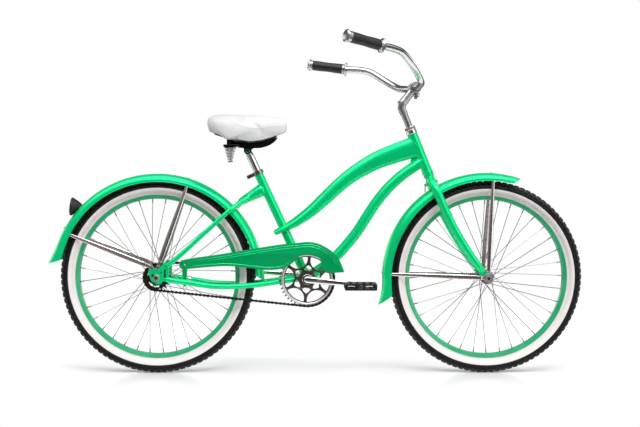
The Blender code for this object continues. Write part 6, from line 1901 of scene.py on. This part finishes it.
def saddle_base():
    rows = []
    for ahead in np.linspace(-0.1028, 0.0927, 30):
        half = from_table(PAN_HALF_WIDTH, ahead)
        rows.append([
            saddle_point(ahead, half * share, underside(ahead) - 0.0024 + 0.0006 * abs(share)**6)
            for share in np.linspace(-1, 1, 21)])
    parts = [folded_sheet(rows, 0.0026)]
    ear = mm(
        (-10.5, -7.5), (10.5, -7.5), (12.5, 4.5), (18, 7.5), (39.7, 8.2), (56, 12.2), (71.4, 18.5), (86, 29),
        (96, 42.5), (65.2, 36.5), (48.2, 30), (7.2, 24.3), (-30.8, 27.5), (-54.5, 32.5), (-54.5, 15), (-30.8, 14),
        (-30.8, 9), (-12, 7.5))
    outline = rounded([(POST_TOP.x + x, POST_TOP.z + z) for x, z in ear], 0.004)
    hole = round_hole(0.0041, POST_TOP.x, POST_TOP.z, 24)
    for side in (-1, 1):
        parts.append(pressed_plate([outline, hole], 0.0040, 0.0008, side * 0.0215))
    carrier_z = SPRING_PLACE.z + 0.00385
    middle_x = SPRING_PLACE.x + 0.0070
    plan = box(middle_x - 0.026, middle_x + 0.026, 0.0825, -0.0825)
    carrier = pressed_plate([rounded(plan, 0.010)], 0.0065, 0.0012, 0.0)
    carrier.transform(Matrix.Translation((0.0, 0.0, carrier_z)) @ Matrix.Rotation(math.radians(90), 4, "X"))
    parts.append(carrier)
    riser_x, riser_z = SPRING_PLACE.x - 0.0020, SPRING_PLACE.z + 0.0155
    wall = box(riser_x - 0.006, riser_x + 0.006, riser_z - 0.009, riser_z + 0.009)
    parts.append(pressed_plate([rounded(wall, 0.002)], 0.150, 0.0010, 0.0))
    bolts = []
    for side in (-1, 1):
        foot = spring_axis(side, -SPRING_LENGTH - 2 * SPRING_WIRE - 0.0003)
        rod = tube([foot + Vector((0, 0, at)) for at in (-0.0020, 0.0, 0.0450)], 0.0018, sides=14)
        bolts += [rod, hexagon_nut(foot - Vector((0, 0, 0.0050)), (0, 0, 1), 0.0110, 0.0050, 0.0018)]
        cup = mm((3, 0.2), (17.5, 0.2), (18.2, -1), (18.6, -2.4), (18, -2.4), (17.2, -0.8), (3, -0.8))
        parts.append(lathe(cup, spring_axis(side, 0.0006), (0, 0, 1), 40))
    piece("saddle_base_steel", joined(*parts), BLACK_METAL, "saddle", "black_metal", "saddle_base")
    piece("saddle_spring_bolts", joined(*bolts), CHROME, "saddle", "chrome")


def springs():
    """Nine turns of wire that narrow downwards, grown along a spiral by Geometry Nodes."""
    wire_steel = worn_steel("spring_wire", (0.62, 0.58, 0.59), 0.26)
    for word, side in SIDES:
        growth = Growth(
            "cone_spring", {"Turns": 9.0, "Wide radius": 0.0165, "Narrow radius": 0.0048, "Length": SPRING_LENGTH,
            "Wire radius": 0.0011, "Place": spring_axis(side, -SPRING_WIRE), "Finish": wire_steel})
        spiral = growth.node(
            "GeometryNodeCurveSpiral", {"Resolution": 40, "Rotations": growth.size("Turns"),
            "Start Radius": growth.size("Wide radius"), "End Radius": growth.size("Narrow radius"),
            "Height": growth.size("Length")})
        ring = growth.node(
            "GeometryNodeCurvePrimitiveCircle", {"Radius": growth.size("Wire radius"), "Resolution": 10})
        coil = growth.node("GeometryNodeCurveToMesh", {"Curve": spiral, "Profile Curve": ring, "Fill Caps": True})
        hung = growth.node(
            "GeometryNodeTransform", {"Geometry": coil, "Scale": (1.0, -1.0, -1.0),
            "Translation": growth.size("Place")})
        mesh = outward(growth.mesh(hung, growth.size("Finish")))
        name = f"saddle_spring_{word}"
        piece(f"{name}_coil", mesh, wire_steel, "saddle", "chrome", name, corner=60.0)


def vinyl():
    """Soft white vinyl with a fine leather grain, a little soiled, and painted a little darker on its top as shade.
    """
    cover = Finish("white_vinyl", (0.80, 0.80, 0.805), 0.42)
    grain = cover.cells(620.0, 1.0)
    soil = cover.noise(26.0, 4.0, 0.6).above(0.58, 0.2) * 0.5
    height = cover.split(cover.place)[2] - (POST_TOP.z + SADDLE_RISE)
    # The top of the cover is painted a little darker than its sides: painted shade that tones down the strong light
    # from above.
    wear_and_shade = cover.mix(height.above(-0.016, 0.014), (0.80, 0.80, 0.805), (0.71, 0.71, 0.715))
    cover.set("Base Color", cover.mix(soil, wear_and_shade, (0.74, 0.74, 0.745)))
    cover.set("Roughness", grain * 0.25 + 0.36)
    cover.bump(grain.above(0.12, 0.10) + cover.noise(160.0, 2.0) * 0.6, 0.00022, 0.7)
    return cover.material


VINYL = vinyl()


def cushion_rings(swell):
    """The cushion's outline, ring by ring from back to nose: crowned, with its sides drawn in below."""
    smooth = curve_through(CUSHION, 4)
    rings = []
    for ahead, half, rise in smooth:
        top = SADDLE_RISE + rise
        low = min(underside(max(ahead, -0.1128)), top - 0.018)
        low += 0.010 * max(0.0, 1 - (ahead + 0.1248) / 0.006) + 0.010 * max(0.0, 1 - (0.1252 - ahead) / 0.006)
        hang = 0.14 * max(0.0, 1 - abs(ahead + 0.068) / 0.050)
        lean = min(1.0, max(0.0, (ahead + 0.060) / 0.080))
        lean = lean * lean * (3 - 2 * lean)
        section = (
            (0.0, 1.0), (0.30, 0.995 - 0.015 * lean), (0.55, 0.965 - 0.055 * lean), (0.75, 0.90 - 0.11 * lean),
            (0.90, 0.77 - 0.17 * lean), (0.975, 0.60 - 0.19 * lean), (1.0, 0.42 - hang - 0.17 * lean),
            (0.97, 0.20 - hang * 1.8 - 0.09 * lean), (0.88, 0.05 - hang), (0.70, 0.015), (0.35, 0.0), (0.0, 0.0))
        side = curve_through(section, 3)
        ring = [(y, z) for y, z in side] + [(-y, z) for y, z in side[-2:0:-1]]
        rings.append([
            saddle_point(ahead, y * half * swell, low + (top - low) * (0.5 + (z - 0.5) * swell)) for y, z in ring])
    return rings


def welt(mesh):
    """The piped seam between the cover's top and its skirt, laid on the finished pad all the way round."""
    pad = BVHTree.FromPolygons([vertex.co for vertex in mesh.vertices], [face.vertices[:] for face in mesh.polygons])
    smooth = curve_through(CUSHION, 4)
    middle = saddle_point(-0.040, 0.0, 0.0)
    line = []
    for angle in turns(200):
        way = Vector((math.cos(angle), math.sin(angle), 0.0))
        above = 0.090
        for _ in range(4):
            hit = pad.ray_cast(middle + way * 0.25 + Vector((0.0, 0.0, above)), -way)[0]
            ahead = hit.x - POST_TOP.x
            top = SADDLE_RISE + np.interp(ahead, smooth[:, 0], smooth[:, 2])
            low = underside(ahead)
            above = low + (top - low) * np.interp(ahead, *np.transpose(WELT_SHARE))
        line.append(hit - way * 0.0003)
    return weld_bead(line, 0.0011, 0.0)


def cushion():
    """The pad is blown up a little as cloth over its foam, and kept within what the pan and pad allow."""
    item = placed("pad", skin(cushion_rings(0.965)))
    remesh = item.modifiers.new("even", "REMESH")
    remesh.mode = "VOXEL"
    remesh.voxel_size = 0.0045
    even = settled(item)
    start = np.array([vertex.co for vertex in even.vertices])
    item = placed("pad", even)
    cloth = item.modifiers.new("fabric", "CLOTH")
    cloth.settings.use_pressure = True
    cloth.settings.uniform_pressure_force = 4.0
    cloth.settings.effector_weights.gravity = 0.0
    cloth.settings.quality = 6
    for stage in range(1, 21):
        bpy.context.scene.frame_set(stage)
    made = item.evaluated_get(bpy.context.evaluated_depsgraph_get())
    blown = np.array([vertex.co for vertex in made.data.vertices])
    bpy.context.scene.frame_set(1)
    item.modifiers.clear()
    move = blown - start
    length = np.linalg.norm(move, axis=1)
    share = np.minimum(1.0, 0.004 / np.maximum(length, 1e-9))
    under = start[:, 2] < POST_TOP.z + underside(start[:, 0] - POST_TOP.x) + 0.006
    share[under & (np.abs(start[:, 1]) < 0.07)] = 0.0
    even.vertices.foreach_set("co", (start + move * share[:, None]).ravel())
    smooth = item.modifiers.new("round", "SUBSURF")
    smooth.levels = smooth.render_levels = 1
    soft = item.modifiers.new("soft", "SMOOTH")
    soft.factor, soft.iterations = 0.5, 3
    mesh = settled(item)
    whole = joined(outward(mesh), welt(mesh))
    made = piece("saddle_cushion_vinyl", whole, VINYL, "saddle", "white_vinyl", "saddle_cushion", corner=75.0)


saddle_base()
springs()
cushion()
